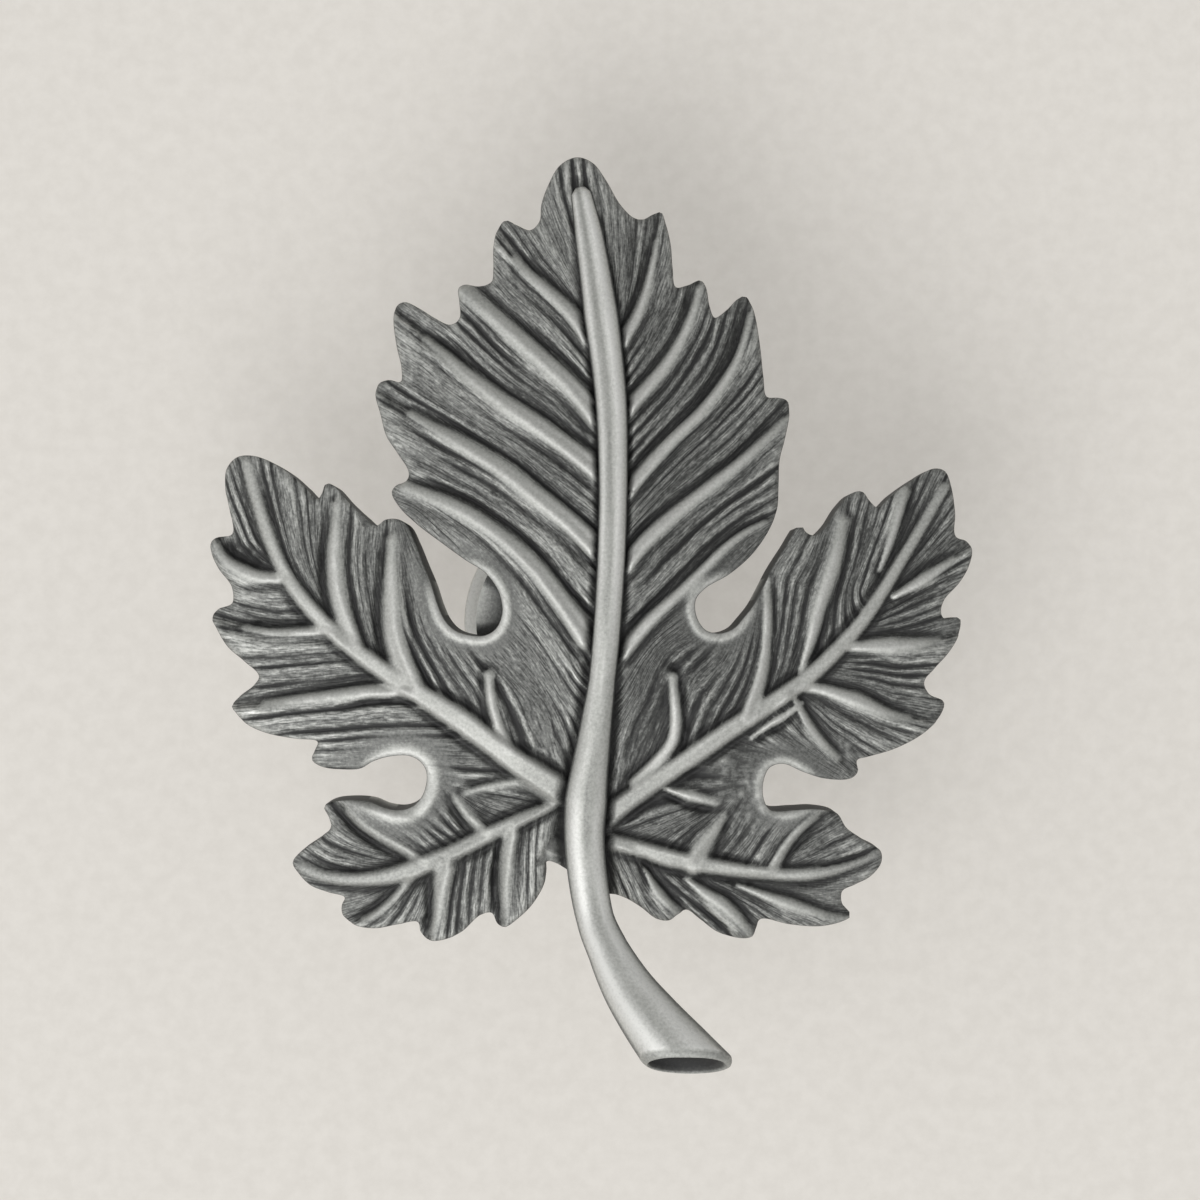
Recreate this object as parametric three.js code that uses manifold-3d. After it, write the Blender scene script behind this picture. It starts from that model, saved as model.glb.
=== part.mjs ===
// Leaf shaped cabinet knob: a lobed leaf, its stalk and a round post, cast as one piece of pewter.
// The post's flat end lies on the door at z = 0, and the face of the leaf looks along +Z.
import * as THREE from 'three';
import { mergeVertices } from 'three/addons/utils/BufferGeometryUtils.js';
import Module from 'manifold-3d';

// Driving dimensions, in millimetres
const LEAF_HEIGHT = 60.2; // tip of the middle lobe to the end of the stalk
const FACE_HEIGHT = 19.5; // face of the blade above the door, over the post
const DOME_SLOPE = 0.22; // fall of the blade towards its tips, as a tangent
const DOME_BEND_RADIUS = 9; // distance from the post within which the blade bends over to that slope
const BLADE_THICKNESS = 3.4; // over the post
const TIP_THICKNESS = 2.2;
const TIP_RADIUS = 32; // distance from the post to the tip thickness
const GRID_STEP = 3.2; // facets of the blade's face and back

// Post and the tapped hole for a No. 8-32 screw
const FOOT_DIAMETER = 15.2;
const FOOT_HEIGHT = 1.8;
const FOOT_EDGE = 0.45;
const WAIST_DIAMETER = 9;
const WAIST_HEIGHT = 7.5;
const CROWN_DIAMETER = 13.5;
const CROWN_SINK = 1.2; // how far the crown runs up into the blade
const HOLE_DIAMETER = 3.6;
const HOLE_DEPTH = 11;
const HOLE_POINT = 1.1;
const HOLE_MOUTH_DIAMETER = 4.8;
const POST_SIDES = 32;

// Ribs, as parts of their own width
const RIB_RISE = 0.42; // a side vein's rise above the blade
const MAIN_RISE = 0.5; // a main vein's rise above the blade
const RIB_SINK = 0.45; // depth of the part that is buried in the blade
const RIB_SIDES = 6;

// Stalk
const STALK_DEPTH = 0.86; // thickness from front to back, as a part of the width
const STALK_SIDES = 12;
const STALK_LIFT = 1.9; // how far its middle line ends above the face of the blade over the post
const STALK_END_TILT = 16; // degrees by which the cut end looks up from straight down the leaf
const STALK_HOLLOW_DEPTH = 0.6;
const STALK_HOLLOW_RIM = 0.62; // wall left round the hollow in the cut end

// Places in the photograph, in its pixels, measured from its top left corner
const PHOTO_TIP_Y = 156;
const PHOTO_STALK_END_Y = 1074;
const PHOTO_POST = [579, 622];

// Outline of the blade, anticlockwise from the left of the stalk, in pixels of the photograph
const LOWER_LEFT_LOBE = [
  [547, 862], [545, 882], [533, 904], [518, 919], [504, 928], [497, 925], [491, 914], [480, 916],
  [462, 932], [445, 940], [428, 941], [420, 933], [417, 923], [398, 925], [375, 929], [355, 926],
  [342, 916], [341, 906], [344, 898], [328, 893], [310, 886], [298, 874], [292, 863], [300, 852],
  [317, 840], [330, 828], [328, 818], [323, 807], [331, 802], [350, 800], [370, 802], [385, 808],
  [400, 810], [411, 807], [420, 799], [425, 788],
];
const LEFT_LOBE = [
  [426, 772], [420, 762], [408, 756], [388, 757], [372, 762], [360, 769], [340, 770], [320, 767],
  [311, 760], [314, 751], [317, 742], [295, 739], [268, 734], [247, 725], [236, 714], [231, 706],
  [239, 696], [253, 685], [258, 676], [243, 661], [227, 647], [216, 629], [211, 617], [217, 609],
  [231, 603], [231, 587], [218, 569], [211, 554], [210, 543], [216, 537], [229, 535], [232, 531],
  [228, 507], [224, 486], [226, 468], [236, 457], [249, 455], [265, 459], [288, 472], [304, 486],
  [317, 498], [321, 493], [325, 483], [333, 485], [348, 501], [363, 515], [376, 525], [385, 519],
  [398, 519], [406, 524], [414, 540], [423, 563], [431, 583], [438, 605], [445, 620], [455, 630],
  [470, 635],
];
const MIDDLE_LOBE_LEFT = [
  [485, 635], [496, 628], [502, 612], [498, 591], [485, 573], [465, 560], [440, 542], [415, 523],
  [398, 506], [391, 492], [396, 485], [405, 481], [408, 472], [397, 453], [386, 436], [380, 414],
  [375, 394], [378, 383], [388, 379], [400, 381], [401, 368], [396, 345], [393, 318], [396, 305],
  [404, 301], [418, 307], [434, 317], [450, 324], [459, 318], [459, 302], [458, 288], [464, 284],
  [478, 285], [491, 281], [493, 268], [493, 247], [497, 229], [505, 219], [517, 224], [530, 229],
  [539, 221], [541, 204], [548, 184], [560, 164], [577, 156],
];
const MIDDLE_LOBE_RIGHT = [
  [593, 162], [606, 179], [620, 203], [633, 216], [643, 218], [653, 213], [661, 211], [666, 223],
  [671, 244], [673, 268], [676, 286], [688, 284], [700, 279], [706, 286], [710, 306], [715, 317],
  [727, 309], [738, 298], [746, 295], [754, 310], [760, 342], [764, 378], [767, 396], [779, 397],
  [788, 400], [790, 412], [785, 440], [780, 460], [779, 486], [778, 508], [769, 531], [752, 555],
  [730, 574], [706, 588], [696, 600], [697, 617], [706, 630],
];
const RIGHT_LOBE = [
  [720, 633], [734, 628], [744, 617], [754, 604], [763, 587], [773, 567], [786, 546], [801, 524],
  [807, 532], [815, 535], [827, 525], [840, 505], [852, 493], [863, 491], [870, 500], [878, 507],
  [893, 494], [914, 479], [935, 468], [946, 471], [952, 486], [956, 512], [957, 536], [968, 541],
  [973, 550], [969, 568], [960, 583], [945, 600], [942, 611], [945, 618], [961, 618], [960, 634],
  [950, 652], [935, 669], [925, 682], [930, 694], [945, 702], [942, 715], [925, 733], [898, 748],
  [870, 757], [858, 761], [859, 772], [851, 779], [825, 779], [803, 772], [783, 764],
];
const LOWER_RIGHT_LOBE = [
  [770, 768], [764, 781], [764, 799], [771, 810], [795, 810], [817, 809], [838, 814], [847, 828],
  [866, 842], [881, 851], [882, 863], [871, 877], [856, 885], [843, 892], [843, 904], [852, 916],
  [843, 922], [820, 927], [790, 925], [761, 920], [757, 929], [753, 937], [741, 939], [718, 933],
  [700, 920], [687, 911], [678, 915], [669, 921], [656, 919], [640, 907], [622, 897], [600, 893],
  [572, 874],
];

// Main veins from the root of the leaf to the tips, in pixels, with the width at each end
const MAIN_VEINS = {
  left: {
    path: [[572, 797], [520, 765], [460, 720], [385, 672], [340, 638], [305, 603], [264, 525], [246, 464]],
    widths: [30, 12],
  },
  right: {
    path: [[600, 822], [650, 785], [730, 730], [805, 680], [862, 622], [905, 555], [945, 487]],
    widths: [25, 11],
  },
  lowerLeft: {
    path: [[572, 800], [520, 826], [460, 857], [400, 876], [330, 873], [303, 866]],
    widths: [13, 10],
  },
  lowerRight: {
    path: [[590, 838], [650, 853], [730, 870], [810, 870], [877, 851]],
    widths: [17, 9],
  },
};

// Side veins from the main vein to the teeth, in pixels, with the width at each end
const SIDE_VEINS = [
  { path: [[588, 645], [555, 590], [500, 540], [440, 500], [408, 484]], widths: [30, 16] },
  { path: [[594, 556], [540, 502], [470, 455], [411, 413]], widths: [28, 14] },
  { path: [[595, 482], [540, 433], [480, 392], [426, 338]], widths: [26, 12] },
  { path: [[594, 412], [540, 356], [466, 290]], widths: [26, 18] },
  { path: [[588, 334], [548, 289], [517, 258]], widths: [22, 10] },
  { path: [[625, 650], [680, 591], [725, 546], [764, 522]], widths: [15, 7] },
  { path: [[628, 562], [675, 513], [738, 463], [784, 420]], widths: [18, 9] },
  { path: [[628, 490], [700, 411], [738, 355], [750, 314]], widths: [17, 8] },
  { path: [[628, 408], [682, 336], [699, 288]], widths: [16, 9] },
  { path: [[624, 338], [646, 288], [656, 240]], widths: [14, 6] },
  { path: [[508, 748], [491, 700], [488, 674]], widths: [12, 11] },
  { path: [[410, 682], [392, 630], [391, 540]], widths: [26, 14] },
  { path: [[352, 640], [334, 585], [335, 505]], widths: [20, 12] },
  { path: [[402, 690], [335, 694], [265, 703]], widths: [15, 10] },
  { path: [[328, 630], [270, 631], [246, 627]], widths: [12, 8] },
  { path: [[285, 578], [243, 571], [228, 562]], widths: [11, 8] },
  { path: [[648, 776], [676, 726], [673, 680]], widths: [14, 10] },
  { path: [[752, 712], [767, 645], [767, 580]], widths: [14, 10] },
  { path: [[800, 672], [823, 600], [842, 535]], widths: [15, 13] },
  { path: [[872, 588], [896, 523], [904, 492]], widths: [10, 12] },
  { path: [[768, 727], [806, 722], [836, 755]], widths: [9, 8] },
  { path: [[806, 693], [862, 697], [912, 717]], widths: [12, 9] },
  { path: [[848, 652], [905, 646], [938, 643]], widths: [15, 10] },
  { path: [[898, 592], [938, 572], [957, 562]], widths: [12, 9] },
  { path: [[425, 864], [378, 838], [347, 812]], widths: [12, 8] },
  { path: [[484, 832], [468, 818], [455, 800]], widths: [14, 10] },
  { path: [[512, 842], [505, 895], [502, 918]], widths: [13, 12] },
  { path: [[448, 872], [440, 900], [434, 930]], widths: [14, 12] },
  { path: [[408, 882], [378, 911], [362, 920]], widths: [9, 8] },
  { path: [[704, 856], [738, 824], [757, 815]], widths: [17, 12] },
  { path: [[778, 862], [808, 828], [824, 817]], widths: [9, 8] },
  { path: [[640, 862], [664, 900], [676, 912]], widths: [9, 10] },
  { path: [[690, 874], [732, 914], [750, 931]], widths: [12, 14] },
  { path: [[738, 878], [802, 904], [838, 914]], widths: [11, 9] },
  { path: [[548, 796], [492, 785], [465, 792]], widths: [12, 7] },
  { path: [[668, 788], [690, 796], [716, 803]], widths: [10, 9] },
];

// Midrib and stalk, one rib from the tip of the leaf to the cut end, with its width at each point
const MIDRIB = [
  [580, 187], [589, 235], [601, 315], [611, 400], [613, 500], [608, 615], [602, 680], [591, 740],
  [582, 800], [582, 850], [595, 918], [608, 950], [627, 986], [650, 1017], [680, 1050], [712, 1082],
];
const MIDRIB_WIDTHS = [12, 18, 24, 25, 23, 22, 21, 29, 38, 37, 38, 42, 52, 62, 72, 80];
const STALK_FROM = 7; // number of the point at which the rib starts to leave the blade

// Scale and places worked out from the dimensions above
const SCALE = LEAF_HEIGHT / (PHOTO_STALK_END_Y - PHOTO_TIP_Y);
const STALK_END_Y = (PHOTO_POST[1] - PHOTO_STALK_END_Y) * SCALE;

const place = ([x, y]) => [(x - PHOTO_POST[0]) * SCALE, (PHOTO_POST[1] - y) * SCALE];

// The face is a hyperboloid: level over the post and then falling at the dome's slope
const bend = (x, y) => Math.hypot(1, Math.hypot(x, y) / DOME_BEND_RADIUS);

const faceHeight = (x, y) => FACE_HEIGHT - DOME_SLOPE * DOME_BEND_RADIUS * (bend(x, y) - 1);

const bladeThickness = (x, y) => {
  const part = Math.min(1, Math.hypot(x, y) / TIP_RADIUS);
  return BLADE_THICKNESS + (TIP_THICKNESS - BLADE_THICKNESS) * part;
};

const wasm = await Module();
wasm.setup();

function solid(geometry) {
  geometry.deleteAttribute('normal');
  geometry.deleteAttribute('uv');
  const merged = mergeVertices(geometry, 1e-5);
  const mesh = new wasm.Mesh({
    numProp: 3,
    vertProperties: new Float32Array(merged.attributes.position.array),
    triVerts: new Uint32Array(merged.index.array),
  });
  return new wasm.Manifold(mesh);
}

function fromRings(rings, firstPoint, lastPoint) {
  const sides = rings[0].length;
  const vertices = [...rings.flat(), firstPoint, lastPoint];
  const faces = [];
  const first = vertices.length - 2;
  const last = vertices.length - 1;
  for (let side = 0; side < sides; side += 1) {
    const next = (side + 1) % sides;
    for (let ring = 0; ring < rings.length - 1; ring += 1) {
      const here = ring * sides;
      const beyond = here + sides;
      faces.push(here + side, beyond + side, here + next);
      faces.push(here + next, beyond + side, beyond + next);
    }
    const end = (rings.length - 1) * sides;
    faces.push(first, side, next);
    faces.push(last, end + next, end + side);
  }
  const geometry = new THREE.BufferGeometry();
  const positions = vertices.flatMap((point) => [point.x, point.y, point.z]);
  geometry.setAttribute('position', new THREE.Float32BufferAttribute(positions, 3));
  geometry.setIndex(faces);
  return solid(geometry);
}

// A rib with an oval section that follows a line, with its width and its rise given at each point
function rib(line, halfWidths, rises, sinks, sides) {
  const up = new THREE.Vector3(0, 0, 1);
  const rings = line.map((point, index) => {
    const before = line[Math.max(0, index - 1)];
    const after = line[Math.min(line.length - 1, index + 1)];
    const along = after.clone().sub(before).normalize();
    const across = along.clone().cross(up).normalize();
    const out = across.clone().cross(along);
    return Array.from({ length: sides }, (_, side) => {
      const angle = side / sides * Math.PI * 2;
      const height = Math.sin(angle) > 0 ? rises[index] : sinks[index];
      return point.clone()
        .addScaledVector(across, Math.cos(angle) * halfWidths[index])
        .addScaledVector(out, Math.sin(angle) * height);
    });
  });
  const end = (from, to, reach) => from.clone().addScaledVector(from.clone().sub(to).normalize(), reach);
  const first = end(line[0], line[1], halfWidths[0] * 0.5);
  const last = end(line.at(-1), line.at(-2), halfWidths.at(-1) * 0.5);
  return fromRings(rings, first, last);
}

function veinRib({ path, widths }, rise, stretches) {
  const flat = path.map(place).map(([x, y]) => new THREE.Vector3(x, y, 0));
  const line = new THREE.CatmullRomCurve3(flat, false, 'centripetal').getPoints(stretches);
  const halves = line.map((_, index) => {
    const part = index / stretches;
    return (widths[0] + (widths[1] - widths[0]) * part) * SCALE / 2;
  });
  line.forEach((point) => {
    point.z = faceHeight(point.x, point.y);
  });
  const rises = halves.map((half) => half * 2 * rise);
  const sinks = halves.map((half) => half * 2 * RIB_SINK);
  return rib(line, halves, rises, sinks, RIB_SIDES);
}

// Blade: a domed slab, cut to the outline of the leaf
function slab() {
  const reach = LEAF_HEIGHT * 0.56;
  const count = Math.ceil(2 * reach / GRID_STEP);
  const positions = [];
  for (const back of [false, true]) {
    for (let row = 0; row <= count; row += 1) {
      for (let column = 0; column <= count; column += 1) {
        const x = -reach + 2 * reach * column / count;
        const y = -reach + 2 * reach * row / count;
        positions.push(x, y, faceHeight(x, y) - (back ? bladeThickness(x, y) : 0));
      }
    }
  }
  const layer = (count + 1) ** 2;
  const at = (column, row) => row * (count + 1) + column;
  const faces = [];
  const quad = (a, b, c, d) => faces.push(a, b, c, a, c, d);
  for (let row = 0; row < count; row += 1) {
    for (let column = 0; column < count; column += 1) {
      const corners = [at(column, row), at(column + 1, row), at(column + 1, row + 1), at(column, row + 1)];
      const [a, b, c, d] = corners;
      quad(a, b, c, d);
      quad(layer + d, layer + c, layer + b, layer + a);
    }
    quad(at(row, 0), layer + at(row, 0), layer + at(row + 1, 0), at(row + 1, 0));
    quad(at(row + 1, count), layer + at(row + 1, count), layer + at(row, count), at(row, count));
    quad(at(0, row + 1), layer + at(0, row + 1), layer + at(0, row), at(0, row));
    quad(at(count, row), layer + at(count, row), layer + at(count, row + 1), at(count, row + 1));
  }
  const geometry = new THREE.BufferGeometry();
  geometry.setAttribute('position', new THREE.Float32BufferAttribute(positions, 3));
  geometry.setIndex(faces);
  return solid(geometry);
}

function outlinePrism() {
  const corners = [
    ...LOWER_LEFT_LOBE, ...LEFT_LOBE, ...MIDDLE_LOBE_LEFT, ...MIDDLE_LOBE_RIGHT, ...RIGHT_LOBE,
    ...LOWER_RIGHT_LOBE,
  ];
  const flat = corners.map(place).map(([x, y]) => new THREE.Vector3(x, y, 0));
  const edge = new THREE.CatmullRomCurve3(flat, true, 'centripetal').getPoints(corners.length * 2);
  const shape = new THREE.Shape(edge.slice(0, -1).map((point) => new THREE.Vector2(point.x, point.y)));
  return solid(new THREE.ExtrudeGeometry(shape, { depth: FACE_HEIGHT * 2, bevelEnabled: false }));
}

// The walls stand square to the domed face, so the back is drawn in towards the post
function blade() {
  const { vertProperties, triVerts } = slab().intersect(outlinePrism()).getMesh();
  for (let at = 0; at < vertProperties.length; at += 3) {
    const [x, y, z] = vertProperties.slice(at, at + 3);
    const depth = faceHeight(x, y) - z;
    const draw = depth * DOME_SLOPE / (DOME_BEND_RADIUS * bend(x, y));
    vertProperties[at] -= draw * x;
    vertProperties[at + 1] -= draw * y;
  }
  return new wasm.Manifold(new wasm.Mesh({ numProp: 3, vertProperties, triVerts }));
}

const veins = () => [
  ...Object.values(MAIN_VEINS).map((vein) => veinRib(vein, MAIN_RISE, vein.path.length * 2)),
  ...SIDE_VEINS.map((vein) => veinRib(vein, RIB_RISE, vein.path.length + 1)),
];

// Midrib and stalk: the rib lies on the blade and then rises clear of it to its cut end
function stalk() {
  const last = MIDRIB.length - 1;
  const line = MIDRIB.map(place).map(([x, y], index) => {
    const part = Math.max(0, index - STALK_FROM) / (last - STALK_FROM);
    const lift = part * part * (3 - 2 * part);
    const onBlade = faceHeight(x, y) + 0.1;
    const top = FACE_HEIGHT + STALK_LIFT;
    return new THREE.Vector3(x, y, onBlade + (top - onBlade) * lift);
  });
  const curve = new THREE.CatmullRomCurve3(line, false, 'centripetal');
  const stretches = last * 2;
  const halves = Array.from({ length: stretches + 1 }, (_, index) => {
    const low = Math.floor(index / 2);
    const high = Math.ceil(index / 2);
    return (MIDRIB_WIDTHS[low] + MIDRIB_WIDTHS[high]) * SCALE / 4;
  });
  const deep = halves.map((half) => half * STALK_DEPTH);
  const rod = rib(curve.getPoints(stretches), halves, deep, deep, STALK_SIDES);
  return rod.subtract(endCut(0)).subtract(endHollow(curve));
}

// Everything beyond the slanting cut across the end of the stalk
function endCut(offset) {
  const size = FACE_HEIGHT;
  const box = new THREE.BoxGeometry(size * 2, size, size * 2);
  box.translate(0, -size / 2 + offset, 0);
  box.rotateX(-THREE.MathUtils.degToRad(STALK_END_TILT));
  box.translate(0, STALK_END_Y + END_SHIFT, FACE_HEIGHT + STALK_LIFT);
  return solid(box);
}

// How far the cut crosses the stalk's middle line above the lowest point of its rim
const STALK_END_HALF = MIDRIB_WIDTHS.at(-2) * SCALE * STALK_DEPTH / 2;
const END_SHIFT = STALK_END_HALF * Math.sin(THREE.MathUtils.degToRad(STALK_END_TILT));

// Shallow oval hollow in the cut end
function endHollow(curve) {
  const crossing = curve.getPoints(200).find((point) => point.y < STALK_END_Y + END_SHIFT);
  const half = MIDRIB_WIDTHS.at(-2) * SCALE / 2;
  const dish = new THREE.SphereGeometry(1, 20, 12);
  dish.scale(half * 1.35 - STALK_HOLLOW_RIM, STALK_HOLLOW_DEPTH, half * STALK_DEPTH - STALK_HOLLOW_RIM);
  dish.rotateX(-THREE.MathUtils.degToRad(STALK_END_TILT));
  dish.translate(crossing.x, crossing.y, crossing.z);
  return solid(dish);
}

// Post: a turned shape with a flared crown under the blade and a blind hole up its middle
function post() {
  const foot = FOOT_DIAMETER / 2;
  const waist = WAIST_DIAMETER / 2;
  const crown = CROWN_DIAMETER / 2;
  const hole = HOLE_DIAMETER / 2;
  const mouth = HOLE_MOUTH_DIAMETER / 2;
  const crownHeight = FACE_HEIGHT - BLADE_THICKNESS + CROWN_SINK;
  const lower = new THREE.CubicBezierCurve(
    new THREE.Vector2(foot, FOOT_HEIGHT),
    new THREE.Vector2(waist + 0.3, FOOT_HEIGHT + 0.4),
    new THREE.Vector2(waist, WAIST_HEIGHT - 3),
    new THREE.Vector2(waist, WAIST_HEIGHT),
  );
  const upper = new THREE.CubicBezierCurve(
    new THREE.Vector2(waist, WAIST_HEIGHT),
    new THREE.Vector2(waist, WAIST_HEIGHT + 4.5),
    new THREE.Vector2(waist + 1.2, crownHeight - 2),
    new THREE.Vector2(crown, crownHeight),
  );
  const profile = [
    new THREE.Vector2(0, HOLE_DEPTH + HOLE_POINT),
    new THREE.Vector2(hole, HOLE_DEPTH),
    new THREE.Vector2(hole, mouth - hole),
    new THREE.Vector2(mouth, 0),
    new THREE.Vector2(foot - FOOT_EDGE, 0),
    new THREE.Vector2(foot - FOOT_EDGE * 0.3, FOOT_EDGE * 0.3),
    new THREE.Vector2(foot, FOOT_EDGE),
    ...lower.getPoints(6),
    ...upper.getPoints(7).slice(1),
    new THREE.Vector2(0, crownHeight),
  ];
  const turned = new THREE.LatheGeometry(profile, POST_SIDES);
  turned.rotateX(Math.PI / 2);
  return solid(turned);
}

function knobGeometry() {
  const whole = [...veins(), stalk(), post()].reduce((sum, piece) => sum.add(piece), blade());
  const { vertProperties, triVerts } = whole.getMesh();
  const geometry = new THREE.BufferGeometry();
  geometry.setAttribute('position', new THREE.BufferAttribute(vertProperties, 3));
  geometry.setIndex(new THREE.BufferAttribute(triVerts, 1));
  geometry.computeVertexNormals();
  return geometry;
}

const pewter = new THREE.MeshStandardMaterial({ color: 0x8d8f8c, roughness: 0.42, metalness: 0.9 });
const knob = new THREE.Mesh(knobGeometry(), pewter);
knob.name = 'leaf_knob';

const part = new THREE.Group();
part.name = 'cabinet_knob';
part.add(knob);

export default part;
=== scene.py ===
# %% [markdown]
# # A leaf knob of antique pewter
#
# The knob is one casting: a lobed leaf with raised veins, a stalk that lifts off its lower edge, and a
# turned post behind it. Its look comes from two things. One is the relief, which is deep and drawn out
# along the side veins. The other is the finish, a black stain that stays in the furrows and is rubbed off
# whatever stands proud. So this lesson works out the relief as a height over the leaf, gives that height to
# a fine mesh, and then lets the same height say where the stain lies.

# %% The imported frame
import math

import bmesh
import bpy
import numpy as np
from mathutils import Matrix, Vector, kdtree


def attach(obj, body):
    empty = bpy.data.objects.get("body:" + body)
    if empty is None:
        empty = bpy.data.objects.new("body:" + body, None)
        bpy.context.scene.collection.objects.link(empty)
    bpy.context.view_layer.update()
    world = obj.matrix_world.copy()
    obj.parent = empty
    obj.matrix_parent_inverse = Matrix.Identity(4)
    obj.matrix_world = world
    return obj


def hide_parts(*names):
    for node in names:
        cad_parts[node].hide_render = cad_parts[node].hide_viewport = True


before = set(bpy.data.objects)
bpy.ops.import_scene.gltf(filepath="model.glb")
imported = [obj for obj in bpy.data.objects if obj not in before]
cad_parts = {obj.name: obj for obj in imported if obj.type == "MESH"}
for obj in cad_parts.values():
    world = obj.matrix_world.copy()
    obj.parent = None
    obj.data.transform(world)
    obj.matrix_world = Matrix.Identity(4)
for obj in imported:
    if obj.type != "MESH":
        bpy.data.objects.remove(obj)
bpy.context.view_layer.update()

# %% [markdown]
# ## Sizes
#
# The driving sizes are the ones that the solid was made from, in metres. Places on the leaf are read off the
# photograph in its pixels, and one scale turns them into metres, with the post's axis as the origin. The
# veins' widths are in the same pixels.

# %% Sizes
MM = 0.001
LEAF_HEIGHT = 60.2 * MM
FACE_HEIGHT = 19.5 * MM
DOME_SLOPE = 0.22
DOME_BEND_RADIUS = 9 * MM
BLADE_THICKNESS = 3.4 * MM
TIP_THICKNESS = 2.2 * MM
TIP_RADIUS = 32 * MM
PHOTO_TIP_Y = 156
PHOTO_STALK_END_Y = 1074
PHOTO_POST = np.array((579.0, 622.0))
PIXEL = LEAF_HEIGHT / (PHOTO_STALK_END_Y - PHOTO_TIP_Y)


def place(points):
    """Places in the photograph, in pixels, as places on the leaf, in metres."""
    flat = np.array(points, float) - PHOTO_POST
    return flat * (PIXEL, -PIXEL)


def bend(x, y):
    return np.hypot(1, np.hypot(x, y) / DOME_BEND_RADIUS)


def face_height(x, y):
    """The domed face of the blade: level over the post, then falling towards the tips."""
    return FACE_HEIGHT - DOME_SLOPE * DOME_BEND_RADIUS * (bend(x, y) - 1)


def blade_thickness(x, y):
    part = np.minimum(1, np.hypot(x, y) / TIP_RADIUS)
    return BLADE_THICKNESS + (TIP_THICKNESS - BLADE_THICKNESS) * part


print("one pixel is", round(PIXEL / MM, 4), "mm")

# %% [markdown]
# ## The outline
#
# A leaf's edge is a run of teeth and notches, so it is kept as the few points that each tooth needs, and a
# smooth curve is drawn through them. A centripetal curve is used because it doesn't loop where two points
# lie close together, as they do at a sharp notch.

# %% Points of the outline
LOWER_LEFT_LOBE = [
    (547, 862), (545, 882), (533, 904), (518, 919), (504, 928), (497, 925), (491, 914), (480, 916),
    (462, 932), (445, 940), (428, 941), (420, 933), (417, 923), (398, 925), (375, 929), (355, 926),
    (342, 916), (341, 906), (344, 898), (328, 893), (310, 886), (298, 874), (292, 863), (300, 852),
    (317, 840), (330, 828), (328, 818), (323, 807), (331, 802), (350, 800), (370, 802), (385, 808),
    (400, 810), (411, 807), (420, 799), (425, 788),
]
LEFT_LOBE = [
    (426, 772), (420, 762), (408, 756), (388, 757), (372, 762), (360, 769), (340, 770), (320, 767),
    (311, 760), (314, 751), (317, 742), (295, 739), (268, 734), (247, 725), (236, 714), (231, 706),
    (239, 696), (253, 685), (258, 676), (243, 661), (227, 647), (216, 629), (211, 617), (217, 609),
    (231, 603), (231, 587), (218, 569), (211, 554), (210, 543), (216, 537), (229, 535), (232, 531),
    (228, 507), (224, 486), (226, 468), (236, 457), (249, 455), (265, 459), (288, 472), (304, 486),
    (317, 498), (321, 493), (325, 483), (333, 485), (348, 501), (363, 515), (376, 525), (385, 519),
    (398, 519), (406, 524), (414, 540), (423, 563), (431, 583), (438, 605), (445, 620), (455, 630),
    (470, 635),
]
MIDDLE_LOBE_LEFT = [
    (485, 635), (496, 628), (502, 612), (498, 591), (485, 573), (465, 560), (440, 542), (415, 523),
    (398, 506), (391, 492), (396, 485), (405, 481), (408, 472), (397, 453), (386, 436), (380, 414),
    (375, 394), (378, 383), (388, 379), (400, 381), (401, 368), (396, 345), (393, 318), (396, 305),
    (404, 301), (418, 307), (434, 317), (450, 324), (459, 318), (459, 302), (458, 288), (464, 284),
    (478, 285), (491, 281), (493, 268), (493, 247), (497, 229), (505, 219), (517, 224), (530, 229),
    (539, 221), (541, 204), (548, 184), (560, 164), (577, 156),
]
MIDDLE_LOBE_RIGHT = [
    (593, 162), (606, 179), (620, 203), (633, 216), (643, 218), (653, 213), (661, 211), (666, 223),
    (671, 244), (673, 268), (676, 286), (688, 284), (700, 279), (706, 286), (710, 306), (715, 317),
    (727, 309), (738, 298), (746, 295), (754, 310), (760, 342), (764, 378), (767, 396), (779, 397),
    (788, 400), (790, 412), (785, 440), (780, 460), (779, 486), (778, 508), (769, 531), (752, 555),
    (730, 574), (706, 588), (696, 600), (697, 617), (706, 630),
]
RIGHT_LOBE = [
    (720, 633), (734, 628), (744, 617), (754, 604), (763, 587), (773, 567), (786, 546), (801, 524),
    (807, 532), (815, 535), (827, 525), (840, 505), (852, 493), (863, 491), (870, 500), (878, 507),
    (893, 494), (914, 479), (935, 468), (946, 471), (952, 486), (956, 512), (957, 536), (968, 541),
    (973, 550), (969, 568), (960, 583), (945, 600), (942, 611), (945, 618), (961, 618), (960, 634),
    (950, 652), (935, 669), (925, 682), (930, 694), (945, 702), (942, 715), (925, 733), (898, 748),
    (870, 757), (858, 761), (859, 772), (851, 779), (825, 779), (803, 772), (783, 764),
]
LOWER_RIGHT_LOBE = [
    (770, 768), (764, 781), (764, 799), (771, 810), (795, 810), (817, 809), (838, 814), (847, 828),
    (866, 842), (881, 851), (882, 863), (871, 877), (856, 885), (843, 892), (843, 904), (852, 916),
    (843, 922), (820, 927), (790, 925), (761, 920), (757, 929), (753, 937), (741, 939), (718, 933),
    (700, 920), (687, 911), (678, 915), (669, 921), (656, 919), (640, 907), (622, 897), (600, 893),
    (572, 874),
]
OUTLINE = (
    LOWER_LEFT_LOBE + LEFT_LOBE + MIDDLE_LOBE_LEFT + MIDDLE_LOBE_RIGHT + RIGHT_LOBE + LOWER_RIGHT_LOBE
)


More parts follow.
